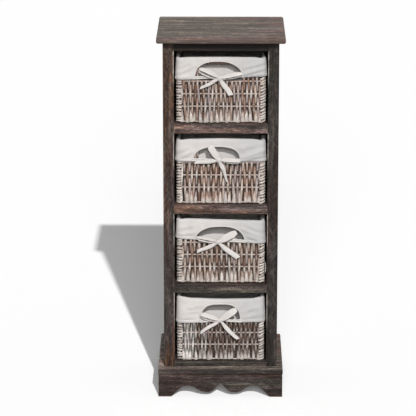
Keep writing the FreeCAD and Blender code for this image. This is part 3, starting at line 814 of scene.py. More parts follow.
class StrandBundle:
    """The strands of one basket, each bent from the same plain tube, in one mesh."""

    SIDES = 6
    # Turn of the fibres round a strand, in radians to the metre
    TWIST = 150.0
    # Cells of the fibres' pattern in a strand's radius and in a metre of its length
    CELLS_ACROSS = 0.9
    CELLS_ALONG = 30.0
    # How far the palest straw's pattern starts from the darkest one's, both ways
    START_ACROSS = 50.0
    START_ALONG = 90.0

    def __init__(self) -> None:
        """Starts an empty bundle."""
        self.shape = bmesh.new()
        self.places: list[Vector] = []
        self.tones: list[float] = []
        self.prouds: list[float] = []
        self.lays: list[float] = []
        self.edges: list[float] = []
        self.tubes: dict[int, bpy.types.Mesh] = {}

    def tube(self, rings: int) -> bpy.types.Mesh:
        """The plain tube that a strand is bent from.

        Args:
            rings: The number of its rings.

        Returns:
            A closed tube of unit radius between heights 0 and 1.
        """
        if rings not in self.tubes:
            shape = bmesh.new()
            bmesh.ops.create_cone(
                shape, cap_ends=True, cap_tris=False, segments=self.SIDES, radius1=1, radius2=1, depth=1
            )
            bmesh.ops.translate(shape, verts=shape.verts, vec=(0, 0, 0.5))
            sides = [e for e in shape.edges if abs(e.verts[0].co.z - e.verts[1].co.z) > 0.5]
            bmesh.ops.subdivide_edges(shape, edges=sides, cuts=rings - 2)
            self.tubes[rings] = to_mesh("strand_tube", shape)
        return self.tubes[rings]

    def lay(self, rings: Sequence[StrandRing], tone: float) -> None:
        """Bends a tube along rings and adds it to the bundle.

        Args:
            rings: The strand's rings, from one end to the other.
            tone: The straw's own shade, from 0 to 1.
        """
        tube = self.tube(len(rings))
        length = sum((b.middle - a.middle).length for a, b in zip(rings, rings[1:]))
        start_across, start_along = tone * self.START_ACROSS, tone * self.START_ALONG
        for vertex in tube.vertices:
            ring = rings[round(vertex.co.z * (len(rings) - 1))]
            self.places.append(ring.middle + ring.across * vertex.co.x + ring.through * vertex.co.y)
            self.tones.append(tone)
            self.prouds.append(ring.proud)
            self.edges.append(abs(vertex.co.x))
            along = vertex.co.z * length
            turn = Matrix.Rotation(along * self.TWIST, 2)
            lay = turn @ Vector((vertex.co.x, vertex.co.y)) * self.CELLS_ACROSS
            self.lays.extend((lay.x + start_across, lay.y, along * self.CELLS_ALONG + start_along))
        self.shape.from_mesh(tube)

    def finish(self, name: str, finish: bpy.types.Material, body: str, node: str) -> bpy.types.Object:
        """Ends the bundle as a piece.

        Args:
            name: The piece's name.
            finish: Its material.
            body: The body that it rides on.
            node: The node that it stands for.

        Returns:
            The piece.
        """
        for vertex, place in zip(self.shape.verts, self.places):
            vertex.co = place
        bmesh.ops.recalc_face_normals(self.shape, faces=self.shape.faces)
        piece = new_piece(name, self.shape, finish, body, node)
        attributes = piece.data.attributes
        kept = {"strand_tone": self.tones, "strand_proud": self.prouds, "strand_edge": self.edges}
        for label, values in kept.items():
            attributes.new(label, "FLOAT", "POINT").data.foreach_set("value", values)
        attributes.new("strand_lay", "FLOAT_VECTOR", "POINT").data.foreach_set("vector", self.lays)
        for tube in self.tubes.values():
            bpy.data.meshes.remove(tube)
        return piece


@dataclass(frozen=True)
class Wall:
    """One woven side of a basket.

    Attributes:
        middle: Half way along it and through it, at the basket's underside.
        along: The way along it, to the right as seen from outside.
        out: The way out of the basket.
        half: Half of its length between the corner wraps.
        holed: Whether it has the hand hole.
    """

    middle: Vector
    along: Vector
    out: Vector
    half: float
    holed: bool = False


@dataclass(frozen=True)
class Uprights:
    """The strands that stand in a wall, in front of the wires and behind them in turn.

    Attributes:
        wide: Half width where a strand crosses a wire, beside the pitch.
        narrow: Half width between two wires, beside the pitch.
        rim_gap: How far below the rim's wire they end.
        steps: Number of stretches from one wire to the next.
        breadth: How far strands differ in breadth, as a share.
        shift: How far they differ in place.
        lean: How far they differ in slope.
        hinge: Height about which they lean.
        slip: How far the heights of their crossings differ.
        wander: How far their paths differ from wire to wire.
        chalk: How much prouder a white strand counts.
        lump_rings: Number of rings in the lump at every other strand's foot.
        lump_breadth: Breadth of its lowest ring, beside the strand's.
        lump_proud: How proud that ring is.
        lump_loss: What each ring above it loses of both.
        foot_proud: How proud the feet between the lumps are.
        tuck: How far in a strand's lower end is tucked.
        tuck_height: Height of the tucked end.
        tuck_proud: How proud the tucked end is; its low value paints shade on the strand's foot.
        tuck_taper: What is left there of its width and thickness.
        tip: Length of a strand's upper tip.
        tip_taper: What is left there of its width and thickness.
    """

    wide: float = 0.56
    narrow: float = 0.5
    rim_gap: float = 0.0035
    steps: int = 4
    breadth: float = 0.16
    shift: float = 0.0007
    lean: float = 0.06
    hinge: float = 0.06
    slip: float = 0.002
    wander: float = 0.0007
    chalk: float = 0.4
    lump_rings: int = 3
    lump_breadth: float = 1.8
    lump_proud: float = 1.5
    lump_loss: float = 0.25
    foot_proud: float = 0.6
    tuck: float = 0.0045
    tuck_height: float = 0.0006
    tuck_proud: float = 0.15
    tuck_taper: Pair = (0.8, 0.6)
    tip: float = 0.0015
    tip_taper: float = 0.5

    def lay(self, weave: "Weave", wall: Wall, place: float, phase: int) -> None:
        """Lays one strand up a wall.

        Args:
            weave: The basket.
            wall: The wall.
            place: How far along the wall the strand stands.
            phase: 0 where it starts in front of the lowest wire, 1 where it starts behind.
        """
        heights = (*RING_HEIGHTS[:-1], RING_HEIGHTS[-1] - self.rim_gap)
        if wall.holed and abs(place) < weave.hole_half:
            heights = RING_HEIGHTS[:-1]
        shade = weave.shade(wall.middle.x + wall.along.x * place)
        chalk = self.chalk if shade >= weave.WHITE else 0.0
        breadth, shift = 1 + weave.jitter(self.breadth), weave.jitter(self.shift)
        lean = weave.jitter(self.lean)
        slip = [weave.jitter(self.slip) for _ in heights]
        wander = [weave.jitter(self.wander) for _ in heights]
        last_index = self.steps * (len(heights) - 1)
        rings = []
        for index in range(last_index + 1):
            step, part = index // self.steps, index % self.steps / self.steps
            if index == last_index:
                step, part = step - 1, 1.0
            height = between(heights[step] + slip[step], heights[step + 1] + slip[step + 1], part)
            crossing = math.cos(math.pi * part)
            side = (1 if (step + phase) % 2 == 0 else -1) * crossing
            half = between(self.narrow, self.wide, abs(crossing)) * breadth * weave.look.pitch
            proud = (side + 1) / 2
            if index < self.lump_rings and phase == 0:
                half *= self.lump_breadth - self.lump_loss * index
                proud = self.lump_proud - self.lump_loss * index
            elif index < self.lump_rings:
                proud = self.foot_proud
            along = place + shift + lean * (height - self.hinge)
            along += between(wander[step], wander[step + 1], part)
            middle = wall.middle + wall.along * along + wall.out * side * weave.swing + UP * height
            rings.append(StrandRing(middle, wall.along * half, wall.out * weave.thick, proud + chalk))
        first, last = rings[0], rings[-1]
        x, y, _ = first.middle
        under = Vector((x, y, weave.floor + self.tuck_height)) - wall.out * self.tuck
        across, through = first.across * self.tuck_taper[0], first.through * self.tuck_taper[1]
        rings.insert(0, StrandRing(under, across, through, self.tuck_proud))
        across, through = last.across * self.tip_taper, last.through * self.tip_taper
        rings.append(StrandRing(last.middle + UP * self.tip, across, through, last.proud))
        weave.bundle.lay(rings, shade)


@dataclass(frozen=True)
class Fillers:
    """The strands that run along inside the uprights and close the gaps, painted dark as shade.

    Attributes:
        lowest: Height of the lowest one.
        pitch: From one to the next.
        rim_gap: How far below the rim's wire they end.
        hole_gap: How far above the hand hole's edge they keep clear of it.
        inset: From the middle of the wall in to them.
        half: Half height.
        thick: Half thickness.
        uneven: How far their heights differ.
        palest: Their palest shade.
        steps: Number of stretches.
    """

    lowest: float = 0.009
    pitch: float = 0.0056
    rim_gap: float = 0.004
    hole_gap: float = 0.003
    inset: float = 0.0031
    half: float = 0.0029
    thick: float = 0.0007
    uneven: float = 0.0006
    palest: float = 0.3
    steps: int = 4

    def lay(self, weave: "Weave", wall: Wall) -> None:
        """Lays the fillers of one wall.

        Args:
            weave: The basket.
            wall: The wall.
        """
        reach, hole = wall.half + weave.wrapped, weave.hole_half
        height = self.lowest
        while height < RING_HEIGHTS[-1] - self.rim_gap:
            holed = wall.holed and SILL_HEIGHT < height < weave.hole_top + self.hole_gap
            spans = ((-reach, -hole), (hole, reach)) if holed else ((-reach, reach),)
            for start, end in spans:
                rings = []
                for step in range(self.steps + 1):
                    middle = wall.middle + wall.along * between(start, end, step / self.steps)
                    middle = middle - wall.out * self.inset + UP * (height + weave.jitter(self.uneven))
                    # Fillers count as fully behind the wires, so they get the painted shade of the recesses
                    rings.append(StrandRing(middle, UP * self.half, wall.out * self.thick, 0.0))
                weave.bundle.lay(rings, between(0.0, self.palest, weave.chance.random()))
            height += self.pitch


@dataclass(frozen=True)
class CornerWraps:
    """The strands that are wound round the post where two walls meet.

    Attributes:
        pitch: From one wrap to the next.
        lowest: Height of the lowest wrap.
        rim_gap: How far below the rim's wire they end.
        slope: How far a wrap climbs from its middle to its end.
        half: Half height.
        uneven: How far wraps differ in height, in slope and in half height.
        stand: How far they stand out from the corner, in the open and under the cuff.
        cuff_height: Height at which the cuff starts to press them in.
        cuff_blend: The height over which it does.
        tuck: How far out from the middle of the wall a wrap's ends lie.
        open_share: The share of each half of a wrap that isn't tucked in.
        taper: What is left of its height at its ends.
        whiter: How much prouder its middle counts, at least and at most.
        end_proud: How proud its ends are.
        shades: Its darkest and its palest shade.
        steps: Number of stretches in each half of a wrap.
        backing_out: From the post's hub out to the strand behind the wraps, dark as painted shade.
        backing_half: Its half width.
        backing_thick: Its half thickness.
    """

    pitch: float = 0.0064
    lowest: float = 0.0045
    rim_gap: float = 0.004
    slope: float = 0.0026
    half: float = 0.0026
    uneven: Triple = (0.0012, 0.0022, 0.0004)
    stand: Pair = (0.0028, 0.0014)
    cuff_height: float = 0.09
    cuff_blend: float = 0.012
    tuck: float = -0.0006
    open_share: float = 0.4
    taper: float = 0.6
    whiter: Pair = (0.2, 0.5)
    end_proud: float = 0.4
    shades: Pair = (0.4, 0.88)
    steps: int = 4
    backing_out: float = 0.0048
    backing_half: float = 0.0055
    backing_thick: float = 0.0007

    def lay(self, weave: "Weave", first: Wall, second: Wall) -> None:
        """Winds the wraps of one corner.

        Args:
            weave: The basket.
            first: The wall that the wraps start on.
            second: The wall that they end on.
        """
        reach = first.half + weave.wrapped
        hub = first.middle + first.along * reach - first.out * weave.corner
        slant = (first.out + second.out).normalized()
        # A strand behind the wraps, painted dark as the shade in the gaps between them
        across, through = UP.cross(slant) * self.backing_half, slant * self.backing_thick
        places = [hub + slant * self.backing_out + UP * height for height in RING_HEIGHTS]
        weave.bundle.lay([StrandRing(place, across, through, 0.0) for place in places], 0.0)
        for index in range(int((RING_HEIGHTS[-1] - self.rim_gap) / self.pitch)):
            self.wrap(weave, first, second, hub, self.lowest + index * self.pitch)

    def wrap(self, weave: "Weave", first: Wall, second: Wall, hub: Vector, level: float) -> None:
        """Winds one wrap.

        Args:
            weave: The basket.
            first: The wall that it starts on.
            second: The wall that it ends on.
            hub: The middle of the corner's bend.
            level: Its height, before chance moves it.
        """
        proud = 1.0 + between(*self.whiter, weave.chance.random())
        height = level + weave.jitter(self.uneven[0])
        slope = self.slope + weave.jitter(self.uneven[1])
        half = self.half + weave.jitter(self.uneven[2])
        stand = between(*self.stand, ease((height - self.cuff_height) / self.cuff_blend))
        rings = []
        for step in range(2 * self.steps + 1):
            share = step / self.steps - 1
            turned = min(0.5, max(-0.5, share)) + 0.5
            angle = turned * math.pi / 2
            out = first.out * math.cos(angle) + second.out * math.sin(angle)
            leg = max(0.0, abs(share) - 0.5) * 2 * weave.wrapped
            side = first.along if share < 0 else second.along
            tuck = ease((abs(share) - self.open_share) / (1 - self.open_share))
            middle = hub + out * (weave.corner + between(stand, self.tuck, tuck))
            middle = middle + side * math.copysign(leg, share) + UP * (height + slope * share)
            tall = UP * (half * between(1.0, self.taper, tuck))
            rings.append(StrandRing(middle, tall, out * weave.thick, between(proud, self.end_proud, tuck)))
        weave.bundle.lay(rings, between(*self.shades, weave.chance.random()))


@dataclass(frozen=True)
class HoleRim:
    """The short wraps that bind the wire over the hand hole.

    Attributes:
        pitch: From one wrap to the next.
        half: Half width.
        uneven: How far wraps differ in it.
        lean: How far a wrap's ends lie to its sides.
        over: How far it reaches above the rim's wire.
        tuck: How far out from the middle of the wall its ends lie.
        taper: What is left of its width at its ends.
        end_proud: How proud its ends are.
        bulge: How much prouder its middle is.
        dark_share: The share of the wraps that are dark.
        dark: The shade of those.
        pale: The shade of the others.
        steps: Number of stretches in each half of a wrap.
    """

    pitch: float = 0.0066
    half: float = 0.0030
    uneven: float = 0.0004
    lean: float = 0.001
    over: float = 0.002
    tuck: float = -0.0006
    taper: float = 0.6
    end_proud: float = 0.35
    bulge: float = 0.2
    dark_share: float = 0.75
    dark: float = 0.05
    pale: float = 0.62
    steps: int = 3

    def lay(self, weave: "Weave", wall: Wall) -> None:
        """Binds the wire of one wall.

        Args:
            weave: The basket.
            wall: The wall with the hand hole.
        """
        place = -weave.hole_half
        while place < weave.hole_half:
            half = self.half + weave.jitter(self.uneven)
            rings = []
            for step in range(2 * self.steps + 1):
                share = step / self.steps - 1
                bow = 1 - share * share
                height = between(weave.hole_top, RING_HEIGHTS[-1] + self.over, (share + 1) / 2)
                middle = wall.middle + wall.along * (place + self.lean * share) + UP * height
                middle = middle + wall.out * between(self.tuck, weave.swing, bow)
                across = wall.along * half * between(self.taper, 1.0, bow)
                proud = self.end_proud + self.bulge * bow
                rings.append(StrandRing(middle, across, wall.out * weave.thick, proud))
            pale = weave.chance.random() > self.dark_share
            weave.bundle.lay(rings, self.pale if pale else self.dark)
            place += self.pitch


@dataclass(frozen=True)
class FloorStrands:
    """The strands of the floor, which pass over and under its wires.

    Attributes:
        pitch: From one strand to the next.
        wide: Half width where a strand crosses a wire.
        narrow: Half width between two wires.
        thick: Half thickness.
        swing: How far it goes up and down.
        waves: Number of its waves from left to right.
        uneven: How far it wanders.
        proud: How proud it is.
        steps: Number of its stretches.
    """

    pitch: float = 0.0098
    wide: float = 0.0046
    narrow: float = 0.0038
    thick: float = 0.0013
    swing: float = 0.002
    waves: int = 2
    uneven: float = 0.0002
    proud: float = 0.7
    steps: int = 12

    def lay(self, weave: "Weave") -> None:
        """Weaves the floor of a basket.

        Args:
            weave: The basket.
        """
        inset = weave.corner
        count = int((weave.back - weave.front - 2 * inset) / self.pitch)
        for index in range(count + 1):
            y = weave.front + inset + index * self.pitch
            sign = 1 if index % 2 else -1
            rings = []
            for step in range(self.steps + 1):
                share = step / self.steps
                crossing = math.cos(share * 2 * self.waves * math.pi)
                x = between(weave.left, weave.right, share)
                z = weave.floor + RING_HEIGHTS[0] + sign * crossing * self.swing
                middle = Vector((x, y + weave.jitter(self.uneven), z))
                half = between(self.narrow, self.wide, abs(crossing))
                rings.append(StrandRing(middle, Vector((0, half, 0)), UP * self.thick, self.proud))
            weave.bundle.lay(rings, weave.chance.random())


@dataclass(frozen=True)
class StrayStraw:
    """A thin straw that has sprung out of the right-hand corner's wraps.

    Attributes:
        low: Height of its lower end.
        high: Height of its upper end.
        away: How far to the right of the wall's middle its ends lie.
        ahead: How far in front of the front wall's middle it lies.
        bulge: How far its middle stands out to the right of its ends.
        radius: Half of its thickness.
        proud: How proud it is.
        steps: Number of its stretches.
    """

    low: float = 0.024
    high: float = 0.050
    away: float = 0.0038
    ahead: float = 0.0015
    bulge: float = 0.0026
    radius: float = 0.0007
    proud: float = 1.4
    steps: int = 12

    def lay(self, weave: "Weave") -> None:
        """Adds the straw to a basket.

        Args:
            weave: The basket.
        """
        rings = []
        for step in range(self.steps + 1):
            angle = math.pi * step / self.steps
            out = Vector((math.sin(angle), 0, -math.cos(angle)))
            x = weave.right + self.away + self.bulge * out.x
            place = Vector((x, weave.front - self.ahead, weave.floor))
            middle = place + UP * between(self.low, self.high, (out.z + 1) / 2)
            rings.append(StrandRing(middle, out * self.radius, FORWARD * self.radius, self.proud))
        weave.bundle.lay(rings, 1.0)


@dataclass
class Weave:
    """A basket's woven walls and floor, round the wire frame.

    Attributes:
        number: The basket's number, from the top.
        look: What makes it differ from the others.
        wall: Thickness of its walls.
        swing: How far a strand goes out and in round the wires.
        thick: Half thickness of a strand.
        wrapped: How far the wraps of a corner reach along each wall.
        corner: Radius of the corners at the middle of the wall.
        hole_half: Half width of the hand hole.
        hole_top: Height of the hand hole's upper edge.
        ragged: How unevenly the white strands end.
        bundle: The strands that are laid so far.
    """

    # Shade from which a straw counts as white
    WHITE: ClassVar[float] = 0.88

    number: int
    look: "BasketLook"
    wall: float = 0.008
    swing: float = 0.0022
    thick: float = 0.0019
    wrapped: float = 0.0012
    corner: float = 0.008
    hole_half: float = 0.049
    hole_top: float = 0.131
    ragged: float = 0.012
    bundle: StrandBundle = field(default_factory=StrandBundle)

    def __post_init__(self) -> None:
        """Reads the basket's place from its node."""
        self.name = f"basket_{self.number}"
        low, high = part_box(f"{self.name}_weave")
        inset = self.wall / 2
        self.floor = low.z
        self.left, self.right = low.x + inset, high.x - inset
        self.front, self.back = low.y + inset, high.y - inset
        self.chance = random.Random(self.number)

    def walls(self) -> list[Wall]:
        """The four walls, from the front round to the left.

        Returns:
            The walls.
        """
        middle_x, middle_y = (self.left + self.right) / 2, (self.front + self.back) / 2
        margin = self.corner + self.wrapped
        wide, deep = (self.right - self.left) / 2 - margin, (self.back - self.front) / 2 - margin
        x, y = Vector((1, 0, 0)), Vector((0, 1, 0))
        return [
            Wall(Vector((middle_x, self.front, self.floor)), x, -y, wide, True),
            Wall(Vector((self.right, middle_y, self.floor)), y, x, deep),
            Wall(Vector((middle_x, self.back, self.floor)), -x, y, wide),
            Wall(Vector((self.left, middle_y, self.floor)), -y, -x, deep),
        ]

    def jitter(self, reach: float) -> float:
        """A chance offset of up to reach either way."""
        return self.chance.uniform(-reach, reach)

    def shade(self, x: float) -> float:
        """A straw's own shade, white near the left where the basket is whitened.

        Args:
            x: The straw's place from left to right.

        Returns:
            The shade, from 0 to 1.
        """
        white = x < self.left + self.look.whitened + self.jitter(self.ragged)
        chance = self.chance.random()
        return between(self.WHITE, 1.0, chance) if white else self.look.palest * chance

    def build(self) -> bpy.types.Object:
        """Lays every strand of the basket.

        Returns:
            The woven piece.
        """
        walls = self.walls()
        uprights, fillers, wraps = Uprights(), Fillers(), CornerWraps()
        for wall in walls:
            count = int(2 * wall.half / self.look.pitch)
            step = 2 * wall.half / count
            for index in range(count + 1):
                uprights.lay(self, wall, -wall.half + index * step, index % 2)
            fillers.lay(self, wall)
        for index, wall in enumerate(walls):
            wraps.lay(self, wall, walls[(index + 1) % len(walls)])
        HoleRim().lay(self, walls[0])
        FloorStrands().lay(self)
        if self.look.stray:
            StrayStraw().lay(self)
        finish = WovenStraw(self.look.wash, self.look.tone).material(f"{self.name}_straw")
        return self.bundle.finish(f"{self.name}_strands", finish, self.name, f"{self.name}_weave")


def cloth_grid(
    shape: bmesh.types.BMesh, columns: int, rows: int, surface: Callable[[int, int], Vector], size: Pair
) -> None:
    """Adds a sheet to a shape, with its flat place kept as a map for its threads.

    Args:
        shape: The shape, which has a map named cloth.
        columns: The number of faces across.
        rows: The number of faces along.
        surface: Gives the place of a corner by its column and row.
        size: The sheet's flat width and length.
    """
    flat = shape.loops.layers.uv["cloth"]
    made = bmesh.ops.create_grid(shape, x_segments=columns, y_segments=rows, size=1, calc_uvs=True)
    places = {}
    for vertex in made["verts"]:
        column = round((vertex.co.x + 1) / 2 * columns)
        row = round((vertex.co.y + 1) / 2 * rows)
        places[vertex] = surface(column, row)
    for face in {face for vertex in made["verts"] for face in vertex.link_faces}:
        for loop in face.loops:
            loop[flat].uv = (loop[flat].uv.x * size[0], loop[flat].uv.y * size[1])
    for vertex, place in places.items():
        vertex.co = place


def thicken(piece: bpy.types.Object, thickness: float) -> None:
    """Gives a sheet its thickness and smooth curves.

    Args:
        piece: The sheet.
        thickness: How thick it is.
    """
    wall = piece.modifiers.new("thickness", "SOLIDIFY")
    wall.thickness = thickness
    wall.offset = 0
    curve = piece.modifiers.new("curves", "SUBSURF")
    curve.levels = 1
    curve.render_levels = 1


@dataclass(frozen=True)
class Fold:
    """A soft ridge in the front of a cuff.

    Attributes:
        start: Where it starts, as a place across the front and a height.
        end: Where it ends.
        lift: How far it stands out.
        breadth: How broad it is.
    """

    # The stretch of a half wave that its height follows from end to end
    RISE: ClassVar[Pair] = (0.12, 0.88)

    start: Pair
    end: Pair
    lift: float = 0.003
    breadth: float = 0.0036

    def push(self, x: float, z: float) -> float:
        """How far the fold pushes out the cloth.

        Args:
            x: The place across the front.
            z: The height.

        Returns:
            The distance.
        """
        start, run = Vector(self.start), Vector(self.end) - Vector(self.start)
        share = min(1.0, max(0.0, (Vector((x, z)) - start).dot(run) / run.length_squared))
        away = (Vector((x, z)) - start - run * share).length / self.breadth
        return self.lift * math.exp(-away * away) * math.sin(math.pi * between(*self.RISE, share))


@dataclass(frozen=True)
class Ripple:
    """Small uneven waves in a cloth.

    Attributes:
        height: How high they stand.
        cells: How many of them lie along a metre.
        start: Where their pattern starts, times the basket's number.
    """

    height: float
    cells: float
    start: Triple

    def lift(self, place: Vector, number: int) -> float:
        """How far the waves lift the cloth at a place of the basket with a number."""
        return self.height * noise.noise(place * self.cells + Vector(self.start) * number)


@dataclass(frozen=True)
class CuffShape:
    """How one liner's cuff hangs, from the middle of the basket and its underside.

    Attributes:
        notch_left: Left end of the notch.
        notch_right: Right end of the notch.
        notch_top: Height of the notch's crown.
        shoulders: How square the notch's left and right shoulders are.
        hem_left: Height of the hem at the left corner.
        hem_right: Height of the hem at the right corner.
        rim: Height of the rim at five places from the left corner to the right one.
        dent: How deep the slack bag is hollowed behind the notch.
        folds: The soft ridges in its front.
    """

    notch_left: float
    notch_right: float
    notch_top: float
    shoulders: Pair
    hem_left: float
    hem_right: float
    rim: tuple[float, float, float, float, float]
    dent: float
    folds: tuple[Fold, ...]

    def notch_middle(self) -> float:
        """The middle of the notch."""
        return (self.notch_left + self.notch_right) / 2

    def hem_height(self, side: float) -> float:
        """Height of the cuff's lower edge without its notch, at a place from -1 to 1 across."""
        return between(self.hem_left, self.hem_right, (side + 1) / 2)


@dataclass(frozen=True)
class Column:
    """One line of the liner from its floor up over the rim and down to the hem.

    Attributes:
        place: Its place on the middle of the woven wall.
        out: The way out of the basket there.
        side: How far to the right of the basket's middle it is, from -1 to 1.
        notch: The share of the notch's height that is cut away, or 0 beside the notch.
    """

    place: Vector
    out: Vector
    side: float
    notch: float = 0.0

    def front(self) -> float:
        """How squarely it faces the front, from 0 to 1."""
        return max(0.0, self.out.dot(FORWARD))


@dataclass
class Liner:
    """A cotton bag in a basket, turned down over the rim as a cuff with a notch in front.

    Attributes:
        weave: The basket that it lines.
        shape: How its cuff hangs.
        inner: From the middle of the wall in to the bag.
        outer: From the middle of the wall out to the cuff.
        floor_height: Height of the bag's floor.
        rim_round: Height of the turn over the rim.
        hem: Height of the hem.
        notch_hem: Height of the hem round the notch.
        hem_out: How much farther out the cuff lies at its hem.
        pinched: How much closer to the wall the top of the cuff lies, away from the notch.
        pinch_run: The length beside the notch over which it draws closer.
        belly: How far the front of the cuff bulges half way down.
        slack: How far the bag's wall hangs in.
        slack_cells: Number of such slack places along a metre.
        thickness: Thickness of the cloth.
        weld: Distance within which points of the cloth are one.
    """

    # Numbers of columns: beside the notch, round it, along half the back, along a side, in a corner
    BESIDE: ClassVar[int] = 16
    ROUND_NOTCH: ClassVar[int] = 30
    HALF_BACK: ClassVar[int] = 15
    ALONG_SIDE: ClassVar[int] = 32
    IN_CORNER: ClassVar[int] = 4
    # Where the rim's five heights lie from left to right, as shares of the width
    RIM_PLACES: ClassVar[tuple[float, ...]] = (0.02, 0.14, 0.5, 0.86, 0.98)
    # Where the rows lie: from the middle of the floor, up the wall, over the rim in degrees
    FLOOR_ROWS: ClassVar[tuple[float, ...]] = (0.0, 0.35, 0.7, 0.93)
    WALL_ROWS: ClassVar[tuple[float, ...]] = (
        0.05, 0.2, 0.32, 0.42, 0.5, 0.58, 0.66, 0.74, 0.81, 0.87, 0.92, 0.97,
    )
    TURN_ROWS: ClassVar[tuple[float, ...]] = (160, 125, 90, 55, 20)
    # Number of rows down the cuff, and the share of its height by which they lie higher
    CUFF_ROWS: ClassVar[int] = 10
    CUFF_LIFT: ClassVar[float] = 0.03
    # The hem's section round its edge: heights beside the hem's own, and how far out they lie
    HEM_ROWS: ClassVar[tuple[Pair, ...]] = (
        (1.05, -0.0002), (0.86, 0.0007), (0.45, 0.0010), (0.12, 0.0007), (0.0, 0.0), (0.12, -0.0007),
    )
    # How quickly the hem thins at the ends of the notch
    HEM_THINNING: ClassVar[float] = 2.5
    # The hollow behind the notch: its reach in halves of the notch, and the part in which it fades
    HOLLOW_REACH: ClassVar[float] = 1.5
    HOLLOW_FADE: ClassVar[float] = 0.9
    # Shares of the bag's height: below the hollow, where it deepens, where it ends under the rim
    HOLLOW_START: ClassVar[float] = 0.28
    HOLLOW_RUN: ClassVar[float] = 0.32
    HOLLOW_END: ClassVar[float] = 0.13
    # The waves all over the cuff, and how strong they are on the sides and back and on the front
    RIPPLES: ClassVar[tuple[Ripple, ...]] = (Ripple(0.0011, 34, (9, 0, 0)), Ripple(0.0007, 85, (0, 7, 0)))
    RIPPLE_RANGE: ClassVar[Pair] = (0.6, 1.6)

    weave: Weave
    shape: CuffShape
    inner: float = 0.0052
    outer: float = 0.0052
    floor_height: float = 0.0092
    rim_round: float = 0.0045
    hem: float = 0.006
    notch_hem: float = 0.0024
    hem_out: float = 0.0004
    pinched: float = 0.0014
    pinch_run: float = 0.03
    belly: float = 0.0008
    slack: float = 0.0016
    slack_cells: float = 28
    thickness: float = 0.0011
    weld: float = 0.00001

    def front_places(self) -> list[Pair]:
        """Places of the columns across the front.

        Returns:
            Each place, with the share of the notch's height that is cut away there.
        """
        weave, shape = self.weave, self.shape
        reach = weave.right - weave.corner
        middle = shape.notch_middle()
        places = []
        for index in range(self.BESIDE):
            places.append((between(-reach, shape.notch_left, index / self.BESIDE), 0.0))
        for index in range(self.ROUND_NOTCH + 1):
            angle = math.pi * (1 - index / self.ROUND_NOTCH)
            left = angle > math.pi / 2
            power = 2 / shape.shoulders[0 if left else 1]
            half = middle - shape.notch_left if left else shape.notch_right - middle
            x = middle + math.copysign(abs(math.cos(angle)) ** power * half, math.cos(angle))
            places.append((x, max(0.0, math.sin(angle)) ** power))
        for index in range(1, self.BESIDE + 1):
            places.append((between(shape.notch_right, reach, index / self.BESIDE), 0.0))
        return places

    def columns(self) -> list[Column]:
        """The liner's columns, from the middle of the back round by the left side.

        Returns:
            The columns.
        """
        weave = self.weave
        reach_x = weave.right - weave.corner
        near, far = weave.front + weave.corner, weave.back - weave.corner
        spots: list[Column] = []

        def straight(start: Pair, end: Pair, out: Vector, steps: int) -> None:
            """Adds the columns of a straight run, without its end.

            Args:
                start: Where it starts.
                end: Where it ends.
                out: The way out of the basket.
                steps: The number of columns.
            """
            for index in range(steps):
                x, y = (between(a, b, index / steps) for a, b in zip(start, end))
                spots.append(Column(Vector((x, y, 0)), out, x / weave.right))

        def bend(hub: Pair, start: float) -> None:
            """Adds the columns of a corner, without its end.

            Args:
                hub: The middle of its bend.
                start: The angle at which it starts, in degrees.
            """
            for index in range(self.IN_CORNER):
                angle = math.radians(start + 90 * index / self.IN_CORNER)
                out = Vector((math.cos(angle), math.sin(angle), 0))
                place = Vector((*hub, 0)) + out * weave.corner
                spots.append(Column(place, out, place.x / weave.right))

        straight((0, weave.back), (-reach_x, weave.back), Vector((0, 1, 0)), self.HALF_BACK)
        bend((-reach_x, far), 90)
        straight((weave.left, far), (weave.left, near), Vector((-1, 0, 0)), self.ALONG_SIDE)
        bend((-reach_x, near), 180)
        for x, notch in self.front_places()[:-1]:
            spots.append(Column(Vector((x, weave.front, 0)), FORWARD, x / weave.right, notch))
        bend((reach_x, near), 270)
        straight((weave.right, near), (weave.right, far), Vector((1, 0, 0)), self.ALONG_SIDE)
        bend((reach_x, far), 0)
        straight((reach_x, weave.back), (0, weave.back), Vector((0, 1, 0)), self.HALF_BACK)
        return spots

    def rim_height(self, column: Column) -> float:
        """Height of the rim at a column.

        Args:
            column: The column.

        Returns:
            The height above the basket's underside.
        """
        share = (column.side + 1) / 2
        places, heights = self.RIM_PLACES, self.shape.rim
        for (start, low), (end, high) in zip(zip(places, heights), zip(places[1:], heights[1:])):
            if share <= end:
                break
        return between(low, high, ease((share - start) / (end - start)))

    def pinch(self, column: Column) -> float:
        """How much closer to the wall the top of the cuff lies at a column.

        Args:
            column: The column.

        Returns:
            The distance.
        """
        x = column.place.x
        away = max(self.shape.notch_left - x, x - self.shape.notch_right)
        return self.pinched * between(1.0, ease(away / self.pinch_run), column.front())

    def hollow(self, column: Column) -> float:
        """How deep the bag is hollowed at a column, behind the notch and a little beside it.

        Args:
            column: The column.

        Returns:
            The depth.
        """
        shape = self.shape
        away = abs(column.place.x - shape.notch_middle()) / ((shape.notch_right - shape.notch_left) / 2)
        return shape.dent * column.front() * ease((self.HOLLOW_REACH - away) / self.HOLLOW_FADE)

    def push(self, column: Column, place: Vector) -> float:
        """How far the folds and the soft waves push out the cuff.

        Args:
            column: The column.
            place: The place before the push.

        Returns:
            The distance.
        """
        height, rim = place.z - self.weave.floor, self.rim_height(column)
        share = (rim - height) / (rim - self.shape.hem_height(column.side))
        front = column.front()
        waves = sum(ripple.lift(place, self.weave.number) for ripple in self.RIPPLES)
        waves = waves * ease(share * 2) * between(*self.RIPPLE_RANGE, front)
        folds = sum(fold.push(place.x, height) for fold in self.shape.folds)
        return waves + folds * front + self.belly * front * math.sin(math.pi * share)

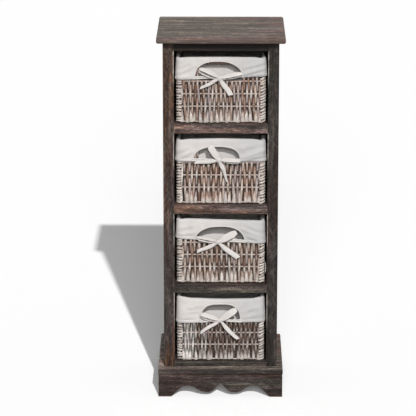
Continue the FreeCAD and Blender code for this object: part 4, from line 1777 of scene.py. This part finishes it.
    def profile(self, column: Column) -> list[Vector]:
        """The points of one column, from the middle of the bag's floor to the turned hem.

        Args:
            column: The column.

        Returns:
            The points in order.
        """
        weave = self.weave
        hub = Vector((0, (weave.front + weave.back) / 2, 0))
        ground = UP * (weave.floor + self.floor_height)
        bag = column.place - column.out * self.inner
        points = [hub + (bag - hub) * share + ground for share in self.FLOOR_ROWS]
        turn = weave.floor + self.rim_height(column) - self.rim_round
        hollow, pinch = self.hollow(column), self.pinch(column)
        for share in self.WALL_ROWS:
            place = bag + UP * between(ground.z, turn, share)
            slack = self.slack * math.sin(math.pi * share) * max(0.0, noise.noise(place * self.slack_cells))
            deepening = ease((share - self.HOLLOW_START) / self.HOLLOW_RUN)
            sag = hollow * deepening * ease((1 - share) / self.HOLLOW_END)
            points.append(place - column.out * (slack + sag))
        for degrees in self.TURN_ROWS:
            angle = math.radians(degrees)
            across = math.cos(angle) * (self.outer - pinch if degrees < 90 else self.inner)
            points.append(column.place + column.out * across + UP * (turn + math.sin(angle) * self.rim_round))
        level = self.shape.hem_height(column.side)
        edge = weave.floor + between(level, self.shape.notch_top, column.notch)
        hem = between(self.hem, self.notch_hem, ease(column.notch * self.HEM_THINNING))
        for step in range(1, self.CUFF_ROWS + 1):
            share = step / self.CUFF_ROWS - self.CUFF_LIFT
            place = column.place + UP * between(turn, edge + hem, share)
            down = (turn - place.z) / (turn - weave.floor - level)
            out = between(self.outer - pinch, self.outer + self.hem_out, down)
            points.append(place + column.out * (out + self.push(column, place)))
        for lift, out in self.HEM_ROWS:
            place = column.place + UP * (edge + hem * lift)
            points.append(place + column.out * (self.outer + self.hem_out + out + self.push(column, place)))
        return points

    def build(self) -> bpy.types.Object:
        """Sews the liner.

        Returns:
            The cloth piece.
        """
        weave, name = self.weave, self.weave.name
        profiles = [self.profile(column) for column in self.columns()]
        rows, count = len(profiles[0]) - 1, len(profiles)
        around = 2 * (weave.right - weave.left + weave.back - weave.front)
        length = sum((b - a).length for a, b in zip(profiles[0], profiles[0][1:]))
        shape = bmesh.new()
        shape.loops.layers.uv.new("cloth")
        cloth_grid(shape, count, rows, lambda c, r: profiles[c % count][r], (around, length))
        bmesh.ops.remove_doubles(shape, verts=shape.verts, dist=self.weld)
        bmesh.ops.recalc_face_normals(shape, faces=shape.faces)
        # The liner's second colour is painted shade that greys its right-hand part
        finish = CottonCloth(paint(181, 177, 174), (0.84, 0.86, 0.88, 1)).material(f"{name}_cotton")
        piece = new_piece(f"{name}_cuffed_liner", shape, finish, name, f"{name}_liner")
        thicken(piece, self.thickness)
        return piece


@dataclass(frozen=True)
class TapeEnd:
    """A loop or a loose end of the tape.

    Attributes:
        degrees: Its direction from the knot, from the right round by the top.
        length: How far it reaches.
        twist: How far its face is turned up or down at the far end, in degrees.
        droop: How far its far end hangs below its direction.
        width: How wide the tape lies there.
        opening: How far apart its halves stand, where it is a loop.
        taper: The share of its width that is left at its far end, where it is loose.
    """

    degrees: float
    length: float
    twist: float = 0.0
    droop: float = 0.0
    width: float = 0.013
    opening: float = 0.009
    taper: float = 1.0

    def along(self) -> Vector:
        """The way out from the knot."""
        angle = math.radians(self.degrees)
        return Vector((math.cos(angle), 0, math.sin(angle)))

    def beside(self) -> Vector:
        """The way across the tape."""
        return FORWARD.cross(self.along())


@dataclass
class Bow:
    """The tape that comes out of the hem at the notch and is tied in a bow.

    Attributes:
        liner: The liner that it closes.
        loops: Its two loops.
        tails: Its two loose ends.
        shift: Where the knot lies, across from the basket's middle and up from its underside.
        width: Width of the tape.
        thickness: Thickness of the tape.
        stand: How far in front of the cuff the knot lies.
        crumple: How uneven the tape's face is.
        crumple_cells: Number of such uneven places along a metre.
        root_gap: Half of a loop's opening at the knot.
        loop_lift: How far forward a loop's tip stands.
        loop_cup: How far a loop's middle stands proud of its edges.
        loop_face: How much of that and of the unevenness a loop has.
        loop_turn: How far a loop's face follows its bend.
        loop_gather: The share of a loop's width at the knot, and how soon it is full.
        tip_gather: The share of it at the tip, where that starts, and over how much of the loop.
        tail_wave: How far a loose end waves to its sides.
        tail_bends: The stretch of a wave that it follows, in radians.
        tail_lift: How far forward a loose end starts and ends.
        tail_cup: How far a loose end's middle stands proud of its edges.
        tail_gather: The share of a loose end's width at the knot, and how soon it is full.
        cut: How far a loose end's cut slants, where that starts, and over how much of the end.
        band_radius: Radius of the turn of tape round the knot.
        band_half: Half width of that turn.
        band_cup: How far its middle stands proud of its edges.
        bridge_back: How far behind the knot the tapes across the notch lie.
        bridge_half: Half height of those, gathered.
        bridge_cup: How far their middles stand proud of their edges.
        bridge_over: How far beyond the notch they reach into the hem.
        bridge_draw: The length beside the knot over which they are drawn to it.
        bridge_spreads: How far above the middle of the hem each comes out.
    """

    # Numbers of faces across the tape, and of stretches along each part of it
    ACROSS: ClassVar[int] = 4
    LOOP_STEPS: ClassVar[int] = 28
    TAIL_STEPS: ClassVar[int] = 16
    BAND_STEPS: ClassVar[int] = 14
    BRIDGE_STEPS: ClassVar[int] = 20
    # The way along the knot's turn of tape, which is tied aslant
    BAND_LEAN: ClassVar[Vector] = Vector((0.94, 0, 0.34))

    liner: Liner
    loops: tuple[TapeEnd, TapeEnd]
    tails: tuple[TapeEnd, TapeEnd]
    shift: Pair
    width: float = 0.013
    thickness: float = 0.0009
    stand: float = 0.0042
    crumple: float = 0.0011
    crumple_cells: float = 110
    root_gap: float = 0.0012
    loop_lift: float = 0.003
    loop_cup: float = 0.0011
    loop_face: float = 0.6
    loop_turn: float = 0.5
    loop_gather: Pair = (0.5, 2.6)
    tip_gather: Triple = (0.62, 0.78, 0.22)
    tail_wave: float = 0.0012
    tail_bends: float = 5
    tail_lift: Pair = (0.0006, -0.0012)
    tail_cup: float = 0.0013
    tail_gather: Pair = (0.55, 2.4)
    cut: Triple = (0.0022, 0.8, 0.2)
    band_radius: float = 0.0044
    band_half: float = 0.0052
    band_cup: float = 0.0008
    bridge_back: float = 0.0030
    bridge_half: float = 0.0017
    bridge_cup: float = 0.0012
    bridge_over: float = 0.004
    bridge_draw: float = 0.02
    bridge_spreads: Pair = (-0.0012, 0.0026)

    def __post_init__(self) -> None:
        """Finds the knot's place in front of the hem."""
        weave = self.liner.weave
        front = weave.front - self.liner.outer - self.stand
        self.knot = Vector((self.shift[0], front, weave.floor + self.shift[1]))
        self.shape = bmesh.new()
        self.shape.loops.layers.uv.new("cloth")
        self.length = 0.0
        self.area = 0.0

    def strip(self, spots: Sequence[tuple[Vector, Vector, Vector]], cup: float) -> None:
        """Adds a stretch of tape.

        Args:
            spots: Its middle, half width and face at each step along it.
            cup: How far its middle stands proud of its edges.
        """
        length = sum((b[0] - a[0]).length for a, b in zip(spots, spots[1:]))
        self.length += length
        self.area += length * 2 * sum(half.length for _, half, _ in spots) / len(spots)

        def surface(column: int, row: int) -> Vector:
            """Places a corner of the tape's mesh.

            Args:
                column: Its number across.
                row: Its number along.

            Returns:
                The place.
            """
            middle, half, face = spots[row]
            share = 2 * column / self.ACROSS - 1
            place = middle + half * share + face * cup * (1 - share * share)
            return place + face * self.crumple * noise.noise(place * self.crumple_cells)

        cloth_grid(self.shape, self.ACROSS, len(spots) - 1, surface, (self.width, length))

    def loop(self, end: TapeEnd) -> None:
        """Adds a loop, rolled so that both of its halves show.

        Args:
            end: The loop.
        """
        along, beside = end.along(), end.beside()
        roll = math.radians(end.twist)
        opening = FORWARD * math.cos(roll) + beside * math.sin(roll)
        across = beside * math.cos(roll) - FORWARD * math.sin(roll)
        root, spread = self.loop_gather
        tip, tip_start, tip_run = self.tip_gather
        spots = []
        for step in range(self.LOOP_STEPS + 1):
            turn = 2 * math.pi * step / self.LOOP_STEPS
            reach = (1 - math.cos(turn)) / 2
            apart = -math.sin(turn) * between(self.root_gap, end.opening / 2, math.sqrt(reach))
            middle = self.knot + along * (end.length * reach) + opening * apart
            middle = middle + FORWARD * self.loop_lift * reach - UP * end.droop * reach * reach
            face = (along * math.sin(turn) * self.loop_turn - opening * math.cos(turn)).normalized()
            gathered = between(root, 1.0, ease(reach * spread))
            gathered *= between(1.0, tip, ease((reach - tip_start) / tip_run))
            spots.append((middle, across * end.width / 2 * gathered, face * self.loop_face))
        self.strip(spots, self.loop_cup)

    def tail(self, end: TapeEnd) -> None:
        """Adds a loose end, whose cut is aslant.

        Args:
            end: The loose end.
        """
        along, beside = end.along(), end.beside()
        root, spread = self.tail_gather
        slant, slant_start, slant_run = self.cut
        spots = []
        for step in range(self.TAIL_STEPS + 1):
            share = step / self.TAIL_STEPS
            wave = self.tail_wave * math.sin(share * self.tail_bends + end.degrees)
            middle = self.knot + along * end.length * share + beside * wave
            forward = between(*self.tail_lift, ease(share))
            middle = middle + FORWARD * forward - UP * end.droop * share * share
            roll = math.radians(end.twist) * ease(share)
            half = beside * math.cos(roll) + FORWARD * math.sin(roll)
            face = FORWARD * math.cos(roll) - beside * math.sin(roll)
            gathered = between(root, 1.0, ease(share * spread)) * between(1.0, end.taper, share)
            aslant = along * slant * ease((share - slant_start) / slant_run)
            spots.append((middle, half * end.width / 2 * gathered + aslant, face))
        self.strip(spots, self.tail_cup)

    def band(self) -> None:
        """Adds the turn of tape round the knot."""
        spots = []
        for step in range(self.BAND_STEPS + 1):
            angle = 2 * math.pi * step / self.BAND_STEPS
            out = FORWARD * math.cos(angle) + UP * math.sin(angle)
            spots.append((self.knot + out * self.band_radius, self.BAND_LEAN * self.band_half, out))
        self.strip(spots, self.band_cup)

    def bridge(self, spread: float) -> None:
        """Adds a gathered tape that crosses the notch between the ends of the hem.

        Args:
            spread: How far above the middle of the hem its ends come out.
        """
        shape, weave = self.liner.shape, self.liner.weave
        start, end = shape.notch_left - self.bridge_over, shape.notch_right + self.bridge_over
        spots = []
        for step in range(self.BRIDGE_STEPS + 1):
            x = between(start, end, step / self.BRIDGE_STEPS)
            level = shape.hem_height(x / weave.right) + self.liner.hem / 2
            drawn = math.exp(-(((x - self.knot.x) / self.bridge_draw) ** 2))
            z = between(weave.floor + level + spread, self.knot.z, drawn)
            spots.append((Vector((x, self.knot.y + self.bridge_back, z)), UP * self.bridge_half, FORWARD))
        self.strip(spots, self.bridge_cup)

    def build(self) -> bpy.types.Object:
        """Ties the bow.

        Returns:
            The tape piece.
        """
        name = self.liner.weave.name
        for spread in self.bridge_spreads:
            self.bridge(spread)
        for end in self.tails:
            self.tail(end)
        for end in self.loops:
            self.loop(end)
        self.band()
        bmesh.ops.recalc_face_normals(self.shape, faces=self.shape.faces)
        finish = CottonCloth(paint(187, 182, 178)).material(f"{name}_tape")
        piece = new_piece(f"{name}_bow", self.shape, finish, name, f"{name}_tie")
        thicken(piece, self.thickness)
        return piece


@dataclass(frozen=True)
class BasketLook:
    """What makes one basket differ from the next.

    Attributes:
        wash: How much whitewash is left on the weave.
        tone: The weave's brightness.
        pitch: From one upright strand to the next.
        cuff: How its cuff hangs.
        loops: The bow's loops.
        tails: The bow's loose ends.
        knot: The knot's place across from the basket's middle and up from its underside.
        whitened: How far in from the left its strands are white.
        palest: The shade of its palest straw, beside those.
        stray: Whether a straw has sprung out of its right-hand corner.
    """

    wash: float
    tone: float
    pitch: float
    cuff: CuffShape
    loops: tuple[TapeEnd, TapeEnd]
    tails: tuple[TapeEnd, TapeEnd]
    knot: Pair
    whitened: float = 0.0
    palest: float = Weave.WHITE
    stray: bool = False


BASKET_LOOKS = (
    BasketLook(
        wash=0.62,
        tone=0.54,
        pitch=0.0047,
        cuff=CuffShape(
            notch_left=-0.0565, notch_right=0.0465, notch_top=0.1385, shoulders=(2.6, 2.2),
            hem_left=0.0975, hem_right=0.1055, rim=(0.1460, 0.1475, 0.1478, 0.1475, 0.1455), dent=0.011,
            folds=(
                Fold((0.046, 0.110), (0.092, 0.124), 0.0060),
                Fold((0.052, 0.125), (0.094, 0.137), 0.0042),
                Fold((0.060, 0.108), (0.097, 0.114)),
                Fold((-0.098, 0.110), (-0.058, 0.129)),
                Fold((-0.097, 0.123), (-0.066, 0.136), 0.002),
                Fold((-0.098, 0.103), (-0.054, 0.108), 0.0025),
            ),
        ),
        loops=(TapeEnd(156, 0.050, twist=-52, opening=0.013), TapeEnd(12, 0.050, twist=40, width=0.011)),
        tails=(
            TapeEnd(206, 0.048, twist=20, droop=0.002, width=0.0105, taper=0.5),
            TapeEnd(-59, 0.045, twist=-15, width=0.0115),
        ),
        knot=(-0.002, 0.1025),
    ),
    BasketLook(
        wash=0.64,
        tone=0.60,
        pitch=0.0052,
        cuff=CuffShape(
            notch_left=-0.060, notch_right=0.042, notch_top=0.131, shoulders=(2.5, 2.8),
            hem_left=0.098, hem_right=0.0975, rim=(0.1450, 0.1475, 0.1490, 0.1478, 0.1450), dent=0.012,
            folds=(
                Fold((0.045, 0.106), (0.092, 0.123), 0.0060),
                Fold((0.052, 0.102), (0.088, 0.112), 0.0045),
                Fold((0.044, 0.128), (0.092, 0.138), 0.0025),
                Fold((-0.097, 0.103), (-0.062, 0.122), 0.0035),
                Fold((-0.098, 0.118), (-0.070, 0.131), 0.0025),
            ),
        ),
        loops=(TapeEnd(124, 0.040, twist=-14, width=0.015), TapeEnd(-3, 0.046, twist=42, width=0.011)),
        tails=(
            TapeEnd(188, 0.054, twist=15, width=0.0105, taper=0.5),
            TapeEnd(-70, 0.053, twist=25, taper=0.3),
        ),
        knot=(-0.0035, 0.102),
    ),
    BasketLook(
        wash=0.66,
        tone=0.46,
        pitch=0.0053,
        cuff=CuffShape(
            notch_left=-0.0545, notch_right=0.053, notch_top=0.132, shoulders=(2.3, 2.4),
            hem_left=0.104, hem_right=0.0925, rim=(0.1480, 0.1492, 0.1472, 0.1455, 0.1447), dent=0.024,
            folds=(
                Fold((0.048, 0.127), (0.094, 0.107), 0.0045),
                Fold((0.056, 0.113), (0.092, 0.099), 0.0035),
                Fold((0.056, 0.134), (0.096, 0.122), 0.0025),
                Fold((-0.097, 0.113), (-0.056, 0.119)),
                Fold((-0.097, 0.126), (-0.060, 0.134), 0.002),
            ),
        ),
        loops=(TapeEnd(167, 0.049, twist=-62, width=0.010), TapeEnd(30, 0.047, twist=16, width=0.016)),
        tails=(
            TapeEnd(207, 0.052, twist=15, width=0.0105, taper=0.7),
            TapeEnd(-41, 0.058, twist=-10, width=0.0115),
        ),
        knot=(-0.0055, 0.0975),
        stray=True,
    ),
    BasketLook(
        wash=0.5,
        tone=0.20,
        pitch=0.0047,
        cuff=CuffShape(
            notch_left=-0.0435, notch_right=0.044, notch_top=0.1340, shoulders=(3.2, 3.0),
            hem_left=0.0905, hem_right=0.0925, rim=(0.1512, 0.1475, 0.1455, 0.1465, 0.1505), dent=0.022,
            folds=(
                Fold((-0.088, 0.122), (-0.044, 0.131), 0.004),
                Fold((-0.090, 0.113), (-0.048, 0.119), 0.004),
                Fold((-0.096, 0.101), (-0.056, 0.106), 0.0025),
                Fold((0.047, 0.115), (0.090, 0.130), 0.0025),
                Fold((0.050, 0.104), (0.092, 0.112), 0.0025),
            ),
        ),
        loops=(TapeEnd(162, 0.046, twist=-48, opening=0.013), TapeEnd(36, 0.046, twist=20, width=0.016)),
        tails=(
            TapeEnd(215, 0.053, twist=10, width=0.0095, taper=0.7),
            TapeEnd(-48, 0.061, twist=-45, width=0.0095),
        ),
        knot=(-0.0015, 0.0975),
        whitened=0.052,
        palest=0.45,
    ),
)


@dataclass
class Basket:
    """One basket with its liner and bow.

    Attributes:
        number: Its number, from the top.
        look: What makes it differ from the others.
    """

    number: int
    look: BasketLook

    def build(self) -> None:
        """Makes the basket's pieces and dresses its wire frame."""
        weave = Weave(self.number, self.look)
        weave.build()
        liner = Liner(weave, self.look.cuff)
        liner.build()
        Bow(liner, self.look.loops, self.look.tails, self.look.knot).build()
        wear(f"{weave.name}_wire_frame", PaintedWire().material(f"{weave.name}_wire"))


@dataclass(frozen=True)
class Lamp:
    """A light from far away.

    Attributes:
        name: Its name.
        travel: The way that its light travels.
        strength: Its strength.
        spread: How wide it is in the sky, in degrees.
    """

    name: str
    travel: Triple
    strength: float
    spread: float

    def add(self) -> None:
        """Hangs the lamp."""
        lamp = bpy.data.lights.new(self.name, "SUN")
        lamp.energy = self.strength
        lamp.angle = math.radians(self.spread)
        holder = set_out(self.name, lamp)
        holder.rotation_euler = Vector(self.travel).to_track_quat("-Z", "Y").to_euler()


@dataclass
class Stage:
    """The floor, the light and the camera.

    Attributes:
        aim: What the camera looks at.
        distance: How far away the camera stands.
        elevation: The camera's height over the horizon, in degrees.
        azimuth: How far round to the right the camera stands, in degrees.
        lens: Its focal length, in millimetres.
        sensor: The width of its frame, in millimetres.
        lamps: The light that throws the shadow, and a softer one from the front.
        fill: The strength of the light from all round.
        floor_half: Half of the floor's width.
    """

    aim: Vector = field(default_factory=lambda: Vector((-0.0289, 0, 0.4061)))
    distance: float = 5.0
    elevation: float = 15.6
    azimuth: float = 0.5
    lens: float = 191.9
    sensor: float = 36
    lamps: tuple[Lamp, ...] = (
        Lamp("key", (-0.147, 0.806, -0.575), 3.5, 0.9),
        Lamp("front", (0.0, 0.927, -0.375), 1.38, 21),
    )
    fill: float = 0.15
    floor_half: float = 60

    def add_floor(self) -> None:
        """Lays the floor under the object."""
        shape = bmesh.new()
        bmesh.ops.create_grid(shape, x_segments=4, y_segments=4, size=self.floor_half)
        mesh = to_mesh("floor", shape)
        mesh.materials.append(PaleFloor().material("pale_floor"))
        floor = set_out("floor", mesh)
        floor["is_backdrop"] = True

    def add_light(self) -> None:
        """Hangs the lamps and sets the light from all round."""
        for lamp in self.lamps:
            lamp.add()
        world = bpy.data.worlds.new("studio")
        world.use_nodes = True
        bpy.context.scene.world = world
        sheet = WorldSheet(world)
        strength = sheet.span(seen_directly(sheet), 0, 1, self.fill, 1)
        sheet.dress(Color=PURE_WHITE, Strength=strength)

    def add_camera(self) -> None:
        """Sets the camera at the photograph's angle."""
        across, height = math.radians(self.azimuth), math.radians(self.elevation)
        level = math.cos(height)
        back = Vector((math.sin(across) * level, -math.cos(across) * level, math.sin(height)))
        camera = bpy.data.cameras.new("camera")
        camera.lens = self.lens
        camera.sensor_width = self.sensor
        holder = set_out("camera", camera)
        place = Matrix.Translation(self.aim + back * self.distance)
        holder.matrix_world = place @ (-back).to_track_quat("-Z", "Y").to_matrix().to_4x4()
        bpy.context.scene.camera = holder

    def build(self) -> None:
        """Sets the whole stage."""
        self.add_floor()
        self.add_light()
        self.add_camera()
        bpy.context.scene.view_settings.view_transform = "Standard"


def main() -> None:
    """Builds and dresses the tower."""
    logging.basicConfig(level=logging.INFO, format="%(message)s")
    Cabinet().dress()
    for number, look in enumerate(BASKET_LOOKS, 1):
        Basket(number, look).build()
    Stage().build()
    boxes = {"cad": CAD_BOX, "visual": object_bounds()}
    {name: [list(corner) for corner in box] for name, box in boxes.items()}
    LOG.info("boxes written")


if __name__ == "__main__":
    main()
